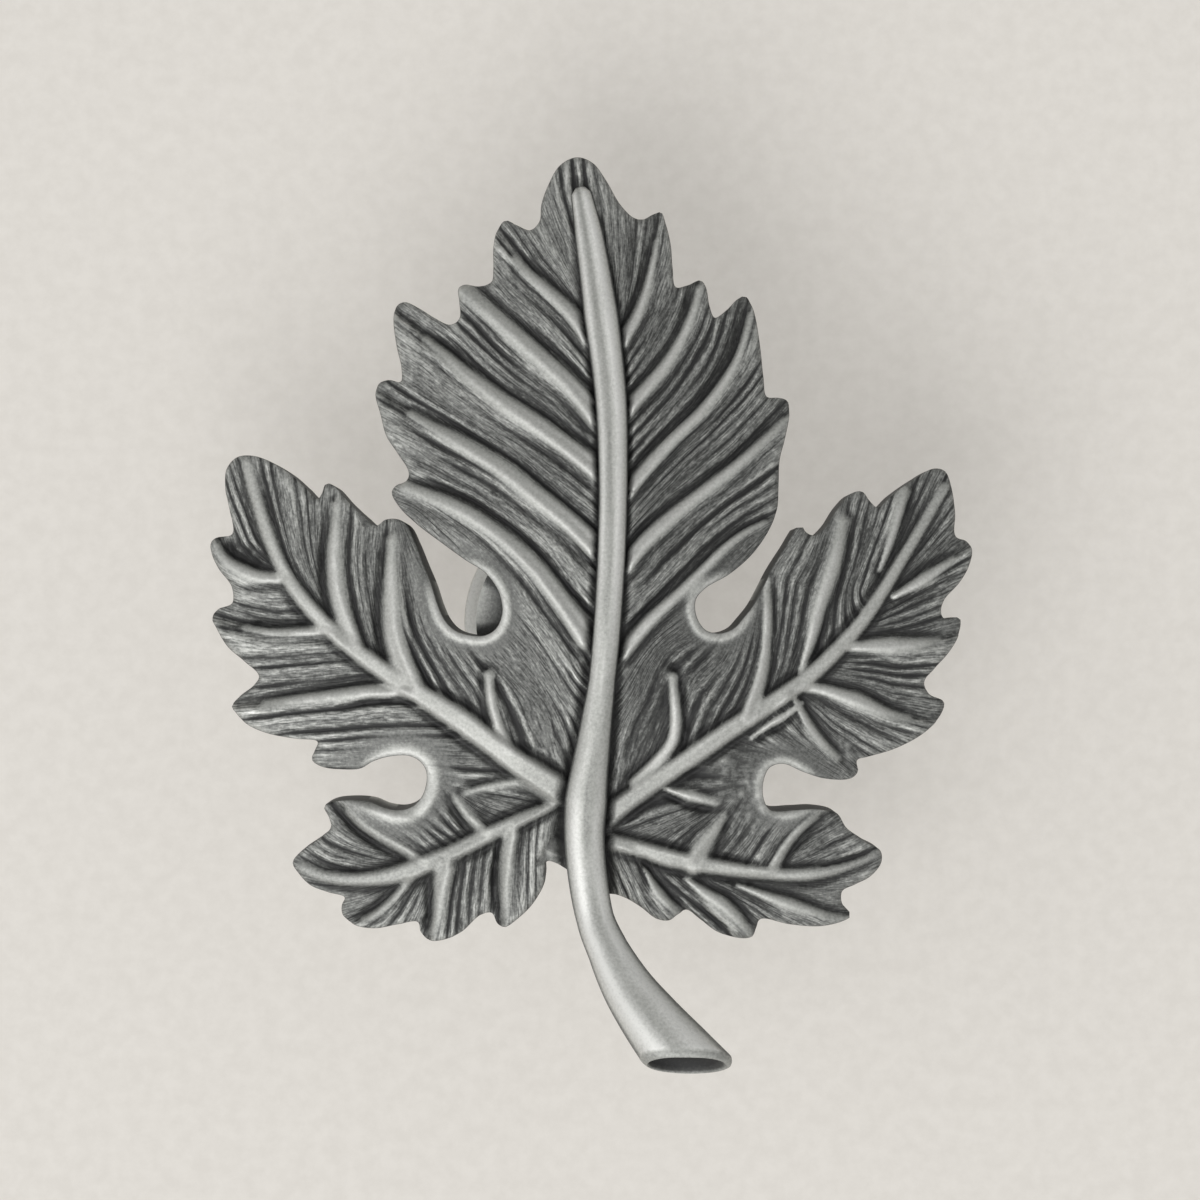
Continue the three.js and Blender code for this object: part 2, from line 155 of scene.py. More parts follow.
# %% A smooth curve through points
def smooth_curve(points, steps, closed=False):
    """A centripetal curve through the points, with so many steps between two of them."""
    p = np.array(points, float)
    if closed:
        p = np.concatenate((p[-1:], p, p[:2]))
    else:
        p = np.concatenate((2 * p[:1] - p[1:2], p, 2 * p[-1:] - p[-2:-1]))
    made = []
    for a, b, c, d in zip(p, p[1:], p[2:], p[3:]):
        ta = 0.0
        tb = ta + math.sqrt(np.linalg.norm(b - a))
        tc = tb + math.sqrt(np.linalg.norm(c - b))
        td = tc + math.sqrt(np.linalg.norm(d - c))
        t = np.linspace(tb, tc, steps, endpoint=False)[:, None]
        ab = (tb - t) / (tb - ta) * a + (t - ta) / (tb - ta) * b
        bc = (tc - t) / (tc - tb) * b + (t - tb) / (tc - tb) * c
        cd = (td - t) / (td - tc) * c + (t - tc) / (td - tc) * d
        abc = (tc - t) / (tc - ta) * ab + (t - ta) / (tc - ta) * bc
        bcd = (td - t) / (td - tb) * bc + (t - tb) / (td - tb) * cd
        made.append((tc - t) / (tc - tb) * abc + (t - tb) / (tc - tb) * bcd)
    if not closed:
        made.append(p[-2:-1])
    return np.concatenate(made)


def run_along(line):
    """How far along the line each of its points lies."""
    return np.concatenate(([0], np.cumsum(np.linalg.norm(np.diff(line, axis=0), axis=1))))


def even_steps(line, step, closed=False):
    """The same line with its points an even distance apart."""
    if closed:
        line = np.concatenate((line, line[:1]))
    run = run_along(line)
    count = max(2, round(run[-1] / step))
    at = np.linspace(0, run[-1], count + 1)
    even = np.stack([np.interp(at, run, line[:, axis]) for axis in range(line.shape[1])], 1)
    return even[:-1] if closed else even


EDGE_STEP = 0.04 * MM
edge = even_steps(smooth_curve(place(OUTLINE), 12, closed=True), EDGE_STEP, closed=True)
edge_along = np.roll(edge, -1, 0) - np.roll(edge, 1, 0)
edge_along /= np.linalg.norm(edge_along, axis=1)[:, None]
area = 0.5 * np.sum(edge[:, 0] * np.roll(edge[:, 1], -1) - np.roll(edge[:, 0], -1) * edge[:, 1])
# The points run clockwise when the area is negative, and the outward side follows from that
edge_out = np.stack((edge_along[:, 1], -edge_along[:, 0]), 1) * math.copysign(1, area)
print(len(OUTLINE), "points of the outline,", len(edge), "steps along it,", round(abs(area) / MM**2), "mm2")

# %% [markdown]
# ## The veins
#
# Every vein is a line from its root towards the leaf's edge, and the numbers after the line are its widths at
# even steps along it. The middle one has no width here, because the midrib is a rod of its own, with a width
# for each of its points.

# %% Main veins, side veins and the midrib
MIDRIB = [
    (580, 187), (589, 235), (601, 315), (611, 400), (613, 500), (608, 615), (602, 680), (594, 740),
    (586, 800), (585, 850), (595, 918), (608, 950), (627, 986), (649, 1017), (676, 1050), (706, 1084),
]
MIDRIB_WIDTHS = [20, 29, 35, 32, 29, 28, 27, 34, 43, 40, 38, 42, 52, 61, 70, 76]
MAIN_VEINS = {
    "middle": ([(582, 850), (582, 800), (591, 740), (602, 680), (608, 615), (613, 500), (611, 400),
                (601, 315), (589, 235), (580, 187), (577, 150)], 0, 0),
    "left": ([(572, 797), (520, 765), (460, 720), (385, 672), (340, 638), (305, 603), (280, 565),
              (264, 525), (253, 490), (246, 464)], 30, 12),
    "right": ([(600, 822), (650, 785), (690, 758), (730, 730), (770, 704), (805, 680), (835, 652),
               (862, 622), (885, 588), (905, 555), (925, 522), (945, 487)], 25, 11),
    "lower left": ([(572, 794), (550, 806), (528, 816), (507, 826), (476, 841), (445, 856), (414, 869),
                    (392, 876), (352, 880), (321, 876), (302, 867)], 8, 15, 19, 21, 16, 12),
    "lower right": ([(590, 836), (612, 842), (640, 849), (672, 859), (716, 867), (760, 873), (803, 875),
                     (832, 871), (861, 862), (878, 853)], 18, 20, 16, 14, 8),
}
SIDE_VEINS = {
    "middle left 1": (
        [(584, 634), (572, 616), (554, 591), (536, 568), (508, 541), (475, 517), (442, 500), (406, 486)],
        26, 21, 13,
    ),
    "middle left 2": (
        [(593, 545), (567, 520), (532, 492), (505, 470), (470, 448), (440, 430), (411, 413)],
        25, 24, 9,
    ),
    "middle left 3": (
        [(595, 468), (571, 449), (541, 427), (506, 403), (466, 372), (446, 354), (426, 338)],
        24, 23, 8,
    ),
    "middle left 4": ([(594, 412), (568, 382), (540, 356), (512, 331), (488, 309), (466, 290)], 25, 18),
    "middle left 5": ([(588, 334), (568, 308), (548, 289), (530, 273), (517, 258)], 21, 10),
    "middle right 1": (
        [(625, 650), (650, 620), (680, 591), (703, 568), (725, 546), (745, 531), (764, 522)],
        15, 7,
    ),
    "middle right 2": (
        [(628, 562), (645, 541), (675, 513), (705, 489), (738, 463), (765, 438), (784, 420)],
        17, 9,
    ),
    "middle right 3": (
        [(628, 490), (645, 470), (672, 439), (700, 411), (722, 383), (738, 355), (750, 314)],
        16, 8,
    ),
    "middle right 4": ([(628, 408), (645, 389), (665, 364), (682, 336), (693, 310), (699, 288)], 15, 9),
    "middle right 5": ([(624, 338), (636, 316), (646, 288), (652, 262), (656, 240)], 14, 6),
    "left stub": ([(508, 748), (498, 725), (491, 700), (489, 674)], 13, 11),
    "left upper 1": ([(410, 682), (400, 660), (392, 630), (390, 590), (390, 560), (391, 540)], 25, 13),
    "left upper 2": ([(352, 640), (342, 615), (334, 585), (332, 555), (334, 528), (335, 505)], 19, 12),
    "left lower 1": ([(402, 690), (370, 690), (335, 694), (300, 698), (265, 703)], 15, 10),
    "left lower 2": ([(328, 630), (300, 631), (270, 631), (246, 627)], 12, 8),
    "left lower 3": ([(274, 578), (258, 576), (240, 569), (226, 559), (218, 545)], 12, 15, 8),
    "right stub": ([(638, 780), (658, 761), (673, 741), (676, 718), (674, 693), (673, 676)], 14, 13, 11),
    "right upper 1": ([(750, 714), (761, 680), (767, 645), (768, 610), (767, 580)], 20, 11, 10),
    "right upper 2": (
        [(802, 668), (812, 640), (821, 607), (832, 574), (839, 548), (844, 520)],
        7, 16, 18, 14,
    ),
    "right upper 3": ([(882, 566), (893, 538), (902, 508), (907, 492)], 5, 11, 13),
    "right lower 1": ([(797, 702), (802, 711), (812, 728), (824, 743), (838, 757)], 6, 12, 9),
    "right spur": ([(798, 706), (785, 716), (768, 726), (752, 738)], 6, 9, 5),
    "right lower 2": ([(806, 688), (822, 689), (840, 694), (862, 701), (886, 712), (910, 718)], 10, 19, 9),
    "right lower 3": ([(852, 647), (875, 645), (905, 644), (938, 640)], 9, 21, 9),
    "right lower 4": ([(898, 594), (918, 582), (936, 570), (954, 558)], 7, 15, 8),
    "lower left upper 1": ([(425, 864), (405, 852), (378, 838), (358, 824), (347, 812)], 12, 8),
    "lower left upper 2": ([(484, 832), (468, 818), (455, 800)], 14, 10),
    "lower left lower 1": ([(510, 838), (508, 848), (504, 884), (503, 918)], 18, 14, 9),
    "lower left lower 2": ([(443, 873), (441, 884), (438, 900), (436, 916), (432, 933)], 24, 17, 11, 10),
    "lower left lower 3": ([(408, 882), (395, 896), (378, 911), (362, 920)], 9, 8),
    "lower right upper 1": ([(696, 860), (706, 844), (716, 831), (725, 817)], 25, 18, 8),
    "lower right upper 2": ([(775, 866), (786, 848), (800, 832), (818, 817)], 13, 9, 7),
    "lower right lower 1": ([(647, 873), (656, 888), (665, 899), (677, 910)], 4, 13, 12),
    "lower right lower 2": ([(690, 882), (705, 893), (722, 904), (737, 917), (750, 932)], 6, 18, 12),
    "lower right lower 3": ([(742, 887), (770, 897), (795, 905), (825, 914), (842, 917)], 5, 15, 8),
    "left fold": ([(548, 796), (520, 783), (492, 785), (465, 792)], 12, 7),
    "right fold": ([(668, 790), (690, 797), (716, 804)], 5, 13, 8),
}

# %% [markdown]
# Five seams run from the root of the leaf through the four gaps and along the stalk. They aren't raised: they
# only part one lobe's furrows from the next one's. With the main veins they split the leaf into ten fields,
# and each field lists the side veins of one side of one lobe, clockwise, because that order gives the furrows
# their direction: a furrow keeps its share of the way from one vein to the next. The short stubs, the folds
# and the spur lead no furrows, so no field has them.

# %% Seams and fields
SEAMS = {
    "stalk": [(582, 830), (584, 860), (588, 900), (600, 1000), (620, 1100)],
    "lower left": [(566, 803), (520, 797), (470, 790), (420, 782), (370, 785), (220, 790)],
    "upper left": [
        (580, 780), (556, 720), (525, 668), (492, 630), (470, 598), (440, 560), (422, 538), (405, 516),
        (384, 506), (366, 478), (330, 420), (300, 380),
    ],
    "upper right": [
        (604, 800), (622, 745), (642, 700), (664, 655), (702, 630), (730, 598), (760, 566), (787, 526),
        (825, 470), (880, 400),
    ],
    "lower right": [(604, 832), (660, 812), (720, 796), (770, 788), (830, 795), (950, 810)],
}
FIELDS = [
    (("seam", "stalk"),
     ["lower left lower 1", "lower left lower 2", "lower left lower 3"],
     ("main", "lower left")),
    (("main", "lower left"), ["lower left upper 1", "lower left upper 2"], ("seam", "lower left")),
    (("seam", "lower left"), ["left lower 1", "left lower 2", "left lower 3"], ("main", "left")),
    (("main", "left"), ["left upper 2", "left upper 1"], ("seam", "upper left")),
    (("seam", "upper left"),
     ["middle left 1", "middle left 2", "middle left 3", "middle left 4", "middle left 5"],
     ("main", "middle")),
    (("main", "middle"),
     ["middle right 5", "middle right 4", "middle right 3", "middle right 2", "middle right 1"],
     ("seam", "upper right")),
    (("seam", "upper right"),
     ["right upper 1", "right upper 2", "right upper 3"],
     ("main", "right")),
    (("main", "right"),
     ["right lower 4", "right lower 3", "right lower 2", "right lower 1"], ("seam", "lower right")),
    (("seam", "lower right"), ["lower right upper 1", "lower right upper 2"], ("main", "lower right")),
    (("main", "lower right"),
     ["lower right lower 3", "lower right lower 2", "lower right lower 1"], ("seam", "stalk")),
]

# %% [markdown]
# ## Where a point lies among the veins
#
# One function measures everything: how far each point is from a line, on which side of it, and how far along
# it. It works on many points at once, one stretch of the line after another, which is quick enough for the
# hundred thousand places on the leaf.

# %% Distance to a line
def line_distance(points, line):
    """Distance to the line, +1 clockwise of it and -1 on its other side, and the run along it."""
    best = np.full(len(points), np.inf)
    side = np.zeros(len(points))
    run = np.zeros(len(points))
    before = 0.0
    for start, end in zip(line[:-1], line[1:]):
        step = end - start
        length = math.hypot(*step)
        along = step / length
        off = points - start
        reach = np.clip(off @ along, 0, length)
        gap = off - reach[:, None] * along
        distance = np.einsum("ij,ij->i", gap, gap)
        nearer = distance < best
        best[nearer] = distance[nearer]
        cross = along[0] * off[nearer, 1] - along[1] * off[nearer, 0]
        side[nearer] = np.where(cross < 0, 1, -1)
        run[nearer] = before + reach[nearer]
        before += length
    return np.sqrt(best), side, run


def carried_on(line, reach):
    """The line with a straight piece added at its far end."""
    last = line[-1] - line[-2]
    return np.concatenate((line, line[-1:] + last / math.hypot(*last) * reach))


CURVE_STEPS = 3
ROOT_REACH = 0.3 * MM  # a side vein starts so far back, under the main vein that it grows from
veins = {}
for name, (points, *widths) in {**MAIN_VEINS, **SIDE_VEINS}.items():
    line = smooth_curve(place(points), CURVE_STEPS)
    if name in SIDE_VEINS:
        line = carried_on(line[::-1], ROOT_REACH)[::-1]
    veins[name] = (line, np.array(widths) * PIXEL)
seams = {name: smooth_curve(place(points), CURVE_STEPS) for name, points in SEAMS.items()}
print(len(veins), "veins and", len(seams), "seams")

# %% [markdown]
# ## The relief map
#
# The relief is worked out on a square grid of places that covers the leaf. The mesh will have its vertices
# on the same grid, and what is moved off it later reads the map between four places.

# %% Grid of places
GRID = 0.145 * MM
MARGIN = 0.8 * MM
low = edge.min(0) - MARGIN
columns, rows = np.ceil((edge.max(0) + MARGIN - low) / GRID).astype(int)
grid_x, grid_y = np.meshgrid(low[0] + np.arange(columns + 1) * GRID, low[1] + np.arange(rows + 1) * GRID)
everywhere = grid_x.shape
places = np.stack((grid_x.ravel(), grid_y.ravel()), 1)


def read_map(values, points):
    """A map's value at any point, read between the four places round it."""
    at = (np.asarray(points)[:, :2] - low) / GRID
    cell = np.clip(np.floor(at).astype(int), 0, (columns - 1, rows - 1))
    part = np.clip(at - cell, 0, 1)
    column, row = cell.T
    px, py = part.T
    lower = values[row, column] * (1 - px) + values[row, column + 1] * px
    upper = values[row + 1, column] * (1 - px) + values[row + 1, column + 1] * px
    return lower * (1 - py) + upper * py


def blurred(values, radius):
    """A map averaged over squares, three times over, which is close to a soft round blur."""
    size = max(1, round(radius / GRID))
    for _ in range(3 if radius > GRID else 1):
        for axis in (0, 1):
            pad = [(size + 1, size) if way == axis else (0, 0) for way in (0, 1)]
            total = np.cumsum(np.pad(values, pad, mode="edge"), axis=axis)
            count = values.shape[axis]
            ends = np.take(total, np.arange(count) + 2 * size + 1, axis)
            starts = np.take(total, np.arange(count), axis)
            values = (ends - starts) / (2 * size + 1)
    return values


print("grid of", columns, "by", rows, "cells")

# %% [markdown]
# Inside or outside is found row by row: a row crosses the outline a few times, and a place is inside when an
# odd number of crossings lies to its left. With the distance to the nearest point of the outline this gives a
# signed distance, positive inside, which will trim the mesh and round its rim.

# %% Signed distance to the outline
edge_tree = kdtree.KDTree(len(edge))
for index, point in enumerate(edge):
    edge_tree.insert((*point, 0), index)
edge_tree.balance()
following = np.roll(edge, -1, 0)
JUST_ABOVE = 1e-9  # keeps a row from running through a point of the outline
inside = np.zeros(everywhere, bool)
for row in range(rows + 1):
    y = low[1] + row * GRID + JUST_ABOVE
    crossed = (edge[:, 1] > y) != (following[:, 1] > y)
    a, b = edge[crossed], following[crossed]
    at = np.sort(a[:, 0] + (y - a[:, 1]) / (b[:, 1] - a[:, 1]) * (b[:, 0] - a[:, 0]))
    inside[row] = np.searchsorted(at, grid_x[row]) % 2 == 1
to_edge = np.array([edge_tree.find((*point, 0))[2] for point in places]).reshape(everywhere)
signed = np.where(inside, to_edge, -to_edge)
print("inside:", round(inside.mean() * 100), "percent of the grid")

# %% [markdown]
# Each place now gets two numbers that follow the leaf's own grain. Across the grain it is the number of
# furrows passed since the first seam, which runs on evenly from one vein to the next. Along the grain it is
# the distance from the root of the nearest vein. Noise drawn on these two numbers makes furrows that fan out
# and bend with the veins, as the modeller's tool left them.
#
# Inside a field, the seam or main vein on each side and the side veins between them are its rays. Each place
# lies between two rays, the one before it and the one after it, and its share of the way from one to the
# other says which furrow it is in.

# %% Furrow coordinates
FURROW = 0.62 * MM  # about the distance from one furrow to the next
FURROW_COUNTS = (3, 9)  # the fewest and the most between two veins
TIP_REACH = 4 * MM  # the furrows go on so far past a vein's tip
RAY_ROOT = 1.5 * MM  # a ray starts so far back, so that no furrow turns round its end
# The furrows' way on past the tip of a vein that ends early
TIP_BENDS = {"right upper 1": [(772, 567), (787, 548), (815, 505)]}


def whole_line(kind, name):
    """A main vein or a seam from end to end."""
    return veins[name][0] if kind == "main" else seams[name]


def ray_line(name):
    """A side vein's line, from under the main vein to as far as its furrows follow it."""
    line = veins[name][0]
    if name in TIP_BENDS:
        line = np.concatenate((line, place(TIP_BENDS[name])))
    return carried_on(line[::-1], RAY_ROOT)[::-1]


parting = [line_distance(places, carried_on(whole_line(*start), TIP_REACH)) for start, _, _ in FIELDS]
nearest = np.argmin([distance for distance, _, _ in parting], axis=0)
clockwise = np.array([side for _, side, _ in parting])[nearest, np.arange(len(places))] > 0
field_of = np.where(clockwise, nearest, (nearest - 1) % len(FIELDS))

# rise is 0 just above a vein, on the side of the tip, and 1 at the next vein
across, along, rise, gap_width, spacing = np.zeros((5, len(places)))
passed = 0.0
for number, (start, sides, end) in enumerate(FIELDS):
    here = np.flatnonzero(field_of == number)
    points = places[here]
    rays = []
    for kind, name in (start, *(("side", side) for side in sides), end):
        line = ray_line(name) if kind == "side" else whole_line(kind, name)
        if kind == "main":
            # A main vein is a ray only beyond the root of its last side vein
            outermost = veins[sides[-1] if end[0] == "main" else sides[0]][0][0]
            first = np.argmin(np.linalg.norm(line - outermost, axis=1))
            line = line[min(first, len(line) - 2):]
        rays.append(line_distance(points, carried_on(line, TIP_REACH)))
    distance, side, run = (np.array(values) for values in zip(*rays))
    everyone = np.arange(len(points))
    ray = np.argmin(distance, axis=0)
    before = side[ray, everyone] > 0
    lower = np.clip(np.where(before, ray, ray - 1), 0, len(rays) - 2)
    near, far = distance[lower, everyone], distance[lower + 1, everyone]
    share = near / (near + far)
    share = np.where((lower == ray) & ~before, -share, share)
    share = np.where((lower + 1 == ray) & before, 2 - share, share)
    wide = np.array([np.median((near + far)[lower == gap]) if np.any(lower == gap) else FURROW
                     for gap in range(len(rays) - 1)])
    furrows = np.clip(np.round(wide / FURROW), *FURROW_COUNTS)
    starts = passed + np.concatenate(([0], np.cumsum(furrows)))
    across[here] = starts[lower] + share * furrows[lower]
    along[here] = run[lower, everyone] * (1 - share) + run[lower + 1, everyone] * share
    rise[here] = share if end[0] == "main" else 1 - share
    gap_width[here] = near + far
    spacing[here] = (near + far) / furrows[lower]
    passed = starts[-1]
across, along, rise, gap_width, spacing = (
    values.reshape(everywhere) for values in (across, along, rise, gap_width, spacing)
)
print("furrows round the whole leaf:", int(passed))

# %% [markdown]
# The noise is made here from a seeded table of random numbers, smoothly joined, so that it works on arrays
# and gives the same leaf each time. A smooth step and a soft bump shape nearly all that follows.

# %% Noise, steps and bumps
def soft_noise(x, y, seed):
    """Smooth noise between -1 and 1, with one wave for about every two units."""
    table = np.random.default_rng(seed).uniform(-1, 1, (256, 256))
    column, row = np.floor(x).astype(int), np.floor(y).astype(int)
    px, py = x - column, y - row
    px, py = px * px * (3 - 2 * px), py * py * (3 - 2 * py)
    c0, c1, r0, r1 = column % 256, (column + 1) % 256, row % 256, (row + 1) % 256
    lower = table[r0, c0] * (1 - px) + table[r0, c1] * px
    upper = table[r1, c0] * (1 - px) + table[r1, c1] * px
    return lower * (1 - py) + upper * py


def smooth_step(values, start, end):
    """0 up to the start, 1 from the end on, and a smooth way up between them."""
    part = np.clip((values - start) / (end - start), 0, 1)
    return part * part * (3 - 2 * part)


def bump(values, middle, width):
    """1 at the middle, falling off softly on both sides."""
    return np.exp(-(((values - middle) / width) ** 2))


# %% [markdown]
# ## Ribs, grooves and furrows
#
# A side vein is a rounded rib. On the side of the leaf's tip it drops into a deep groove, and on its other
# side the blade climbs slowly up to it, so the blade is a row of pleats. The furrows lie on the pleats and
# fade out on the ribs, at the rim and on the smooth lips round the four gaps. Main veins and a few slim ones
# have the same edge on both sides.

# %% Relief of the side veins
RIB_RISE = 0.36  # of the vein's width
SLIM_RISE = 0.46
GROOVE_DEPTH = 0.42 * MM
GROOVE_WIDTH = 0.21 * MM
PLEAT_RISE = 0.40 * MM
FURROW_DEPTH = 0.22 * MM
# Where the rib's foot lies and where its flat top ends, as shares of half the vein's width
SLIM_SIDE, STEEP_SIDE, GENTLE_SIDE = 1.2, 1.3, 2.0
SLIM_FLAT, ROOT_FLAT, TIP_FLAT = 0.6, 0.5, 0.1
CAST_BLUR = 0.08 * MM  # the mould softens every edge so much
# Slim ribs, with the side on which each one's groove lies
SLIM = {"left stub": -1, "right stub": 1, "right upper 1": 1, "right spur": -1}


def rib_profile(distance, flat, reach):
    """1 on the flat top of a rib and 0 at its foot."""
    return 0.5 + 0.5 * np.cos(np.pi * np.clip((distance - flat) / (reach - flat), 0, 1))


# rib is 1 on a vein and 0 off it, crest is 1 along the top of a vein, and groove is 1 at a groove's bottom
relief, rib, crest, groove = np.zeros((4, len(places)))
tipward = {side: (1 if end[0] == "main" else -1) for _, sides, end in FIELDS for side in sides}
for name, (line, widths) in veins.items():
    if name == "middle":
        continue
    main = name in MAIN_VEINS
    reach = 1.2 * widths.max() + 3 * GROOVE_WIDTH
    here = np.flatnonzero(np.all((places > line.min(0) - reach) & (places < line.max(0) + reach), axis=1))
    distance, side, run = line_distance(places[here], line)
    part = run / run_along(line)[-1]
    half = np.interp(part, np.linspace(0, 1, len(widths)), widths) / 2
    width_noise = soft_noise(run / (3 * MM), np.full(len(run), len(name) * 7.3), 5)
    half = half * (1 + 0.10 * width_noise)
    steep = side * (SLIM.get(name) or tipward.get(name, 1)) > 0
    slim = main or name in SLIM
    onward = smooth_step(part, 0.0, 0.6)  # 0 at the root, where the top is flat and both sides have an edge
    gentle = STEEP_SIDE + (GENTLE_SIDE - STEEP_SIDE) * onward
    reach = half * (SLIM_SIDE if slim else np.where(steep, STEEP_SIDE, gentle))
    flat = half * (SLIM_FLAT if slim else ROOT_FLAT + (TIP_FLAT - ROOT_FLAT) * onward)
    profile = rib_profile(distance, flat, reach)
    fade = 1 - 0.35 * smooth_step(part, 0.7, 1.0)
    depth = bump(distance, reach * 1.02, GROOVE_WIDTH)
    depth = depth * (0.8 if main else np.where(steep, 1.0, 0.75 - 0.55 * onward))
    depth = depth * (1 - 0.6 * smooth_step(part, 0.9, 1.0)) * (0.85 + 0.3 * width_noise)
    for layer, values in (
        (relief, profile * half * 2 * (SLIM_RISE if slim else RIB_RISE) * fade),
        (rib, smooth_step(profile, 0.05, 0.75)),
        (crest, profile * fade * (0.74 if main else 1.0)),
        (groove, depth),
    ):
        layer[here] = np.maximum(layer[here], values)

# %% [markdown]
# The midrib is a rod of its own, made later, so here the blade only gets the bed that it lies in.

# %% The midrib's bed
BED_STEPS = 4
BED_WIDTH = 0.18 * MM
# Where the bed is wider, in mm from the midrib's tip, over what length and by how much
BED_BUMPS = [(34, 7, 0.26), (44.5, 3.5, 0.32)]
BED_FULL = 13 * MM  # from the tip to here the bed grows to its full depth


def midrib_halves(line, steps):
    """Half the midrib's width at each point of its smooth line."""
    at = np.arange(len(line)) / steps
    return np.interp(at, np.arange(len(MIDRIB)), MIDRIB_WIDTHS) * PIXEL / 2


midrib_line = smooth_curve(place(MIDRIB), BED_STEPS)
distance, _, run = line_distance(places, midrib_line)
half = np.interp(run, run_along(midrib_line), midrib_halves(midrib_line, BED_STEPS))
bed_width = BED_WIDTH + sum(more * MM * bump(run / MM, middle, length) for middle, length, more in BED_BUMPS)
bed = bump(np.maximum(0, distance - half), 0, bed_width) * (0.35 + 0.65 * smooth_step(run, 0, BED_FULL))
groove = np.maximum(groove, bed)
relief *= 1 - 0.6 * bed
rib *= 1 - bed
crest *= 1 - bed

relief, rib, crest, groove = (values.reshape(everywhere) for values in (relief, rib, crest, groove))

# %% [markdown]
# Round the bottom of each gap the modeller left a smooth, raised lip, and the furrows stop short of it. A few
# dents and three wrinkled patches are marks of the casting.

# %% Lips round the gaps
# Each lip's middle, how far it goes round the gap, and its width
LIPS = [(472, 612, 62, 11), (715, 612, 50, 11), (402, 785, 52, 17), (785, 787, 40, 13)]
LIP_RISE = 0.16 * MM
from_edge = signed / PIXEL


def away_from(x, y):
    """How many pixels each place lies from one in the photograph."""
    centre = place([(x, y)])[0]
    return np.hypot(grid_x - centre[0], grid_y - centre[1]) / PIXEL


lip, smooth = np.zeros((2, *everywhere))  # smooth is 1 where no furrow reaches
for x, y, reach, width in LIPS:
    away = away_from(x, y)
    close = 1 - smooth_step(away, reach * 0.6, reach)
    lip = np.maximum(lip, close * (1 - smooth_step(from_edge, width * 0.5, width * 1.15)))
    wider = 1 - smooth_step(away, reach * 0.9, reach * 1.5)
    smooth = np.maximum(smooth, wider * (1 - smooth_step(from_edge, width * 1.1, width * 2.6)))

# %% Dents and wrinkled patches
# Each dent's place, radius and depth in mm
DENTS = [
    (234, 547, 8, 0.35), (245, 553, 8, 0.45), (256, 559, 7, 0.40), (673, 667, 6, 0.36), (489, 667, 5, 0.22),
    (700, 812, 7, 0.20), (486, 812, 6, 0.16),
]
WRINKLED = [(736, 798, 34), (728, 768, 20), (842, 748, 16)]  # each patch's place and radius
WRINKLE = 0.42 * MM
WRINKLE_DEPTH = 0.16 * MM
dent, rough = np.zeros((2, *everywhere))
for x, y, radius, depth in DENTS:
    dent = np.maximum(dent, depth * bump(away_from(x, y), 0, radius) * (1 - 0.7 * rib))
for x, y, radius in WRINKLED:
    rough = np.maximum(rough, 1 - smooth_step(away_from(x, y), radius * 0.5, radius * 1.2))
bent_x = grid_x / WRINKLE + 0.8 * soft_noise(grid_x / MM, grid_y / MM, 43)
crumbled = (0.35 - np.abs(soft_noise(bent_x, grid_y / WRINKLE, 44))) * rough * (1 - rib)

# %% [markdown]
# A lane is one furrow's width of the leaf, and it sways a little, as a line drawn by hand does. Each lane has
# a valley down its middle and a ridge on each side. Each valley has its own strength, and some come and go.

# %% Furrows and the finished relief
lane = across + 0.5 + 0.30 * soft_noise(across * 0.5, along / (4.5 * MM), 11)
lane = lane + 0.08 * soft_noise(across * 1.3, along / (1.8 * MM), 12)
number = np.round(lane)
from_line = np.abs(lane - number)
LANES = 512
strength = np.random.default_rng(41).uniform(0.15, 1.25, LANES)[number.astype(int) % LANES]
present = strength * smooth_step(soft_noise(number * 0.77 + 0.3, along / (6 * MM), 13), -0.55, 0.15)
valley = present * (0.5 + 0.5 * np.cos(np.pi * np.clip(from_line / 0.42, 0, 1)))
ridged = present * (0.5 + 0.5 * np.cos(np.pi * np.clip((0.5 - from_line) / 0.3, 0, 1)))
broad = soft_noise(lane * 0.8, along / (6 * MM), 21)
# How much of the furrows is left beside ribs and lips, at the edge and where the lanes crowd together
open_blade = (1 - rib) * (1 - 0.9 * smooth) * (1 - 0.7 * rough)
open_blade = open_blade * (0.35 + 0.65 * smooth_step(signed, 0.1 * MM, 0.6 * MM))
open_blade = open_blade * smooth_step(spacing, 0.2 * MM, 0.5 * MM)
furrowed = 0.4 * ridged - valley + 0.5 * broad
pleat = PLEAT_RISE * smooth_step(rise, 0.0, 1.0) * np.clip(gap_width / (4.5 * MM), 0.3, 1.2)
height_map = (
    relief
    + pleat * (1 - rib * 0.5)
    - GROOVE_DEPTH * groove * (1 - rib)
    + FURROW_DEPTH * furrowed * open_blade
    + LIP_RISE * lip
    - dent * MM
    - WRINKLE_DEPTH * crumbled
)
height_map = blurred(height_map, CAST_BLUR)
print("relief from", round(height_map.min() / MM, 2), "to", round(height_map[inside].max() / MM, 2), "mm")
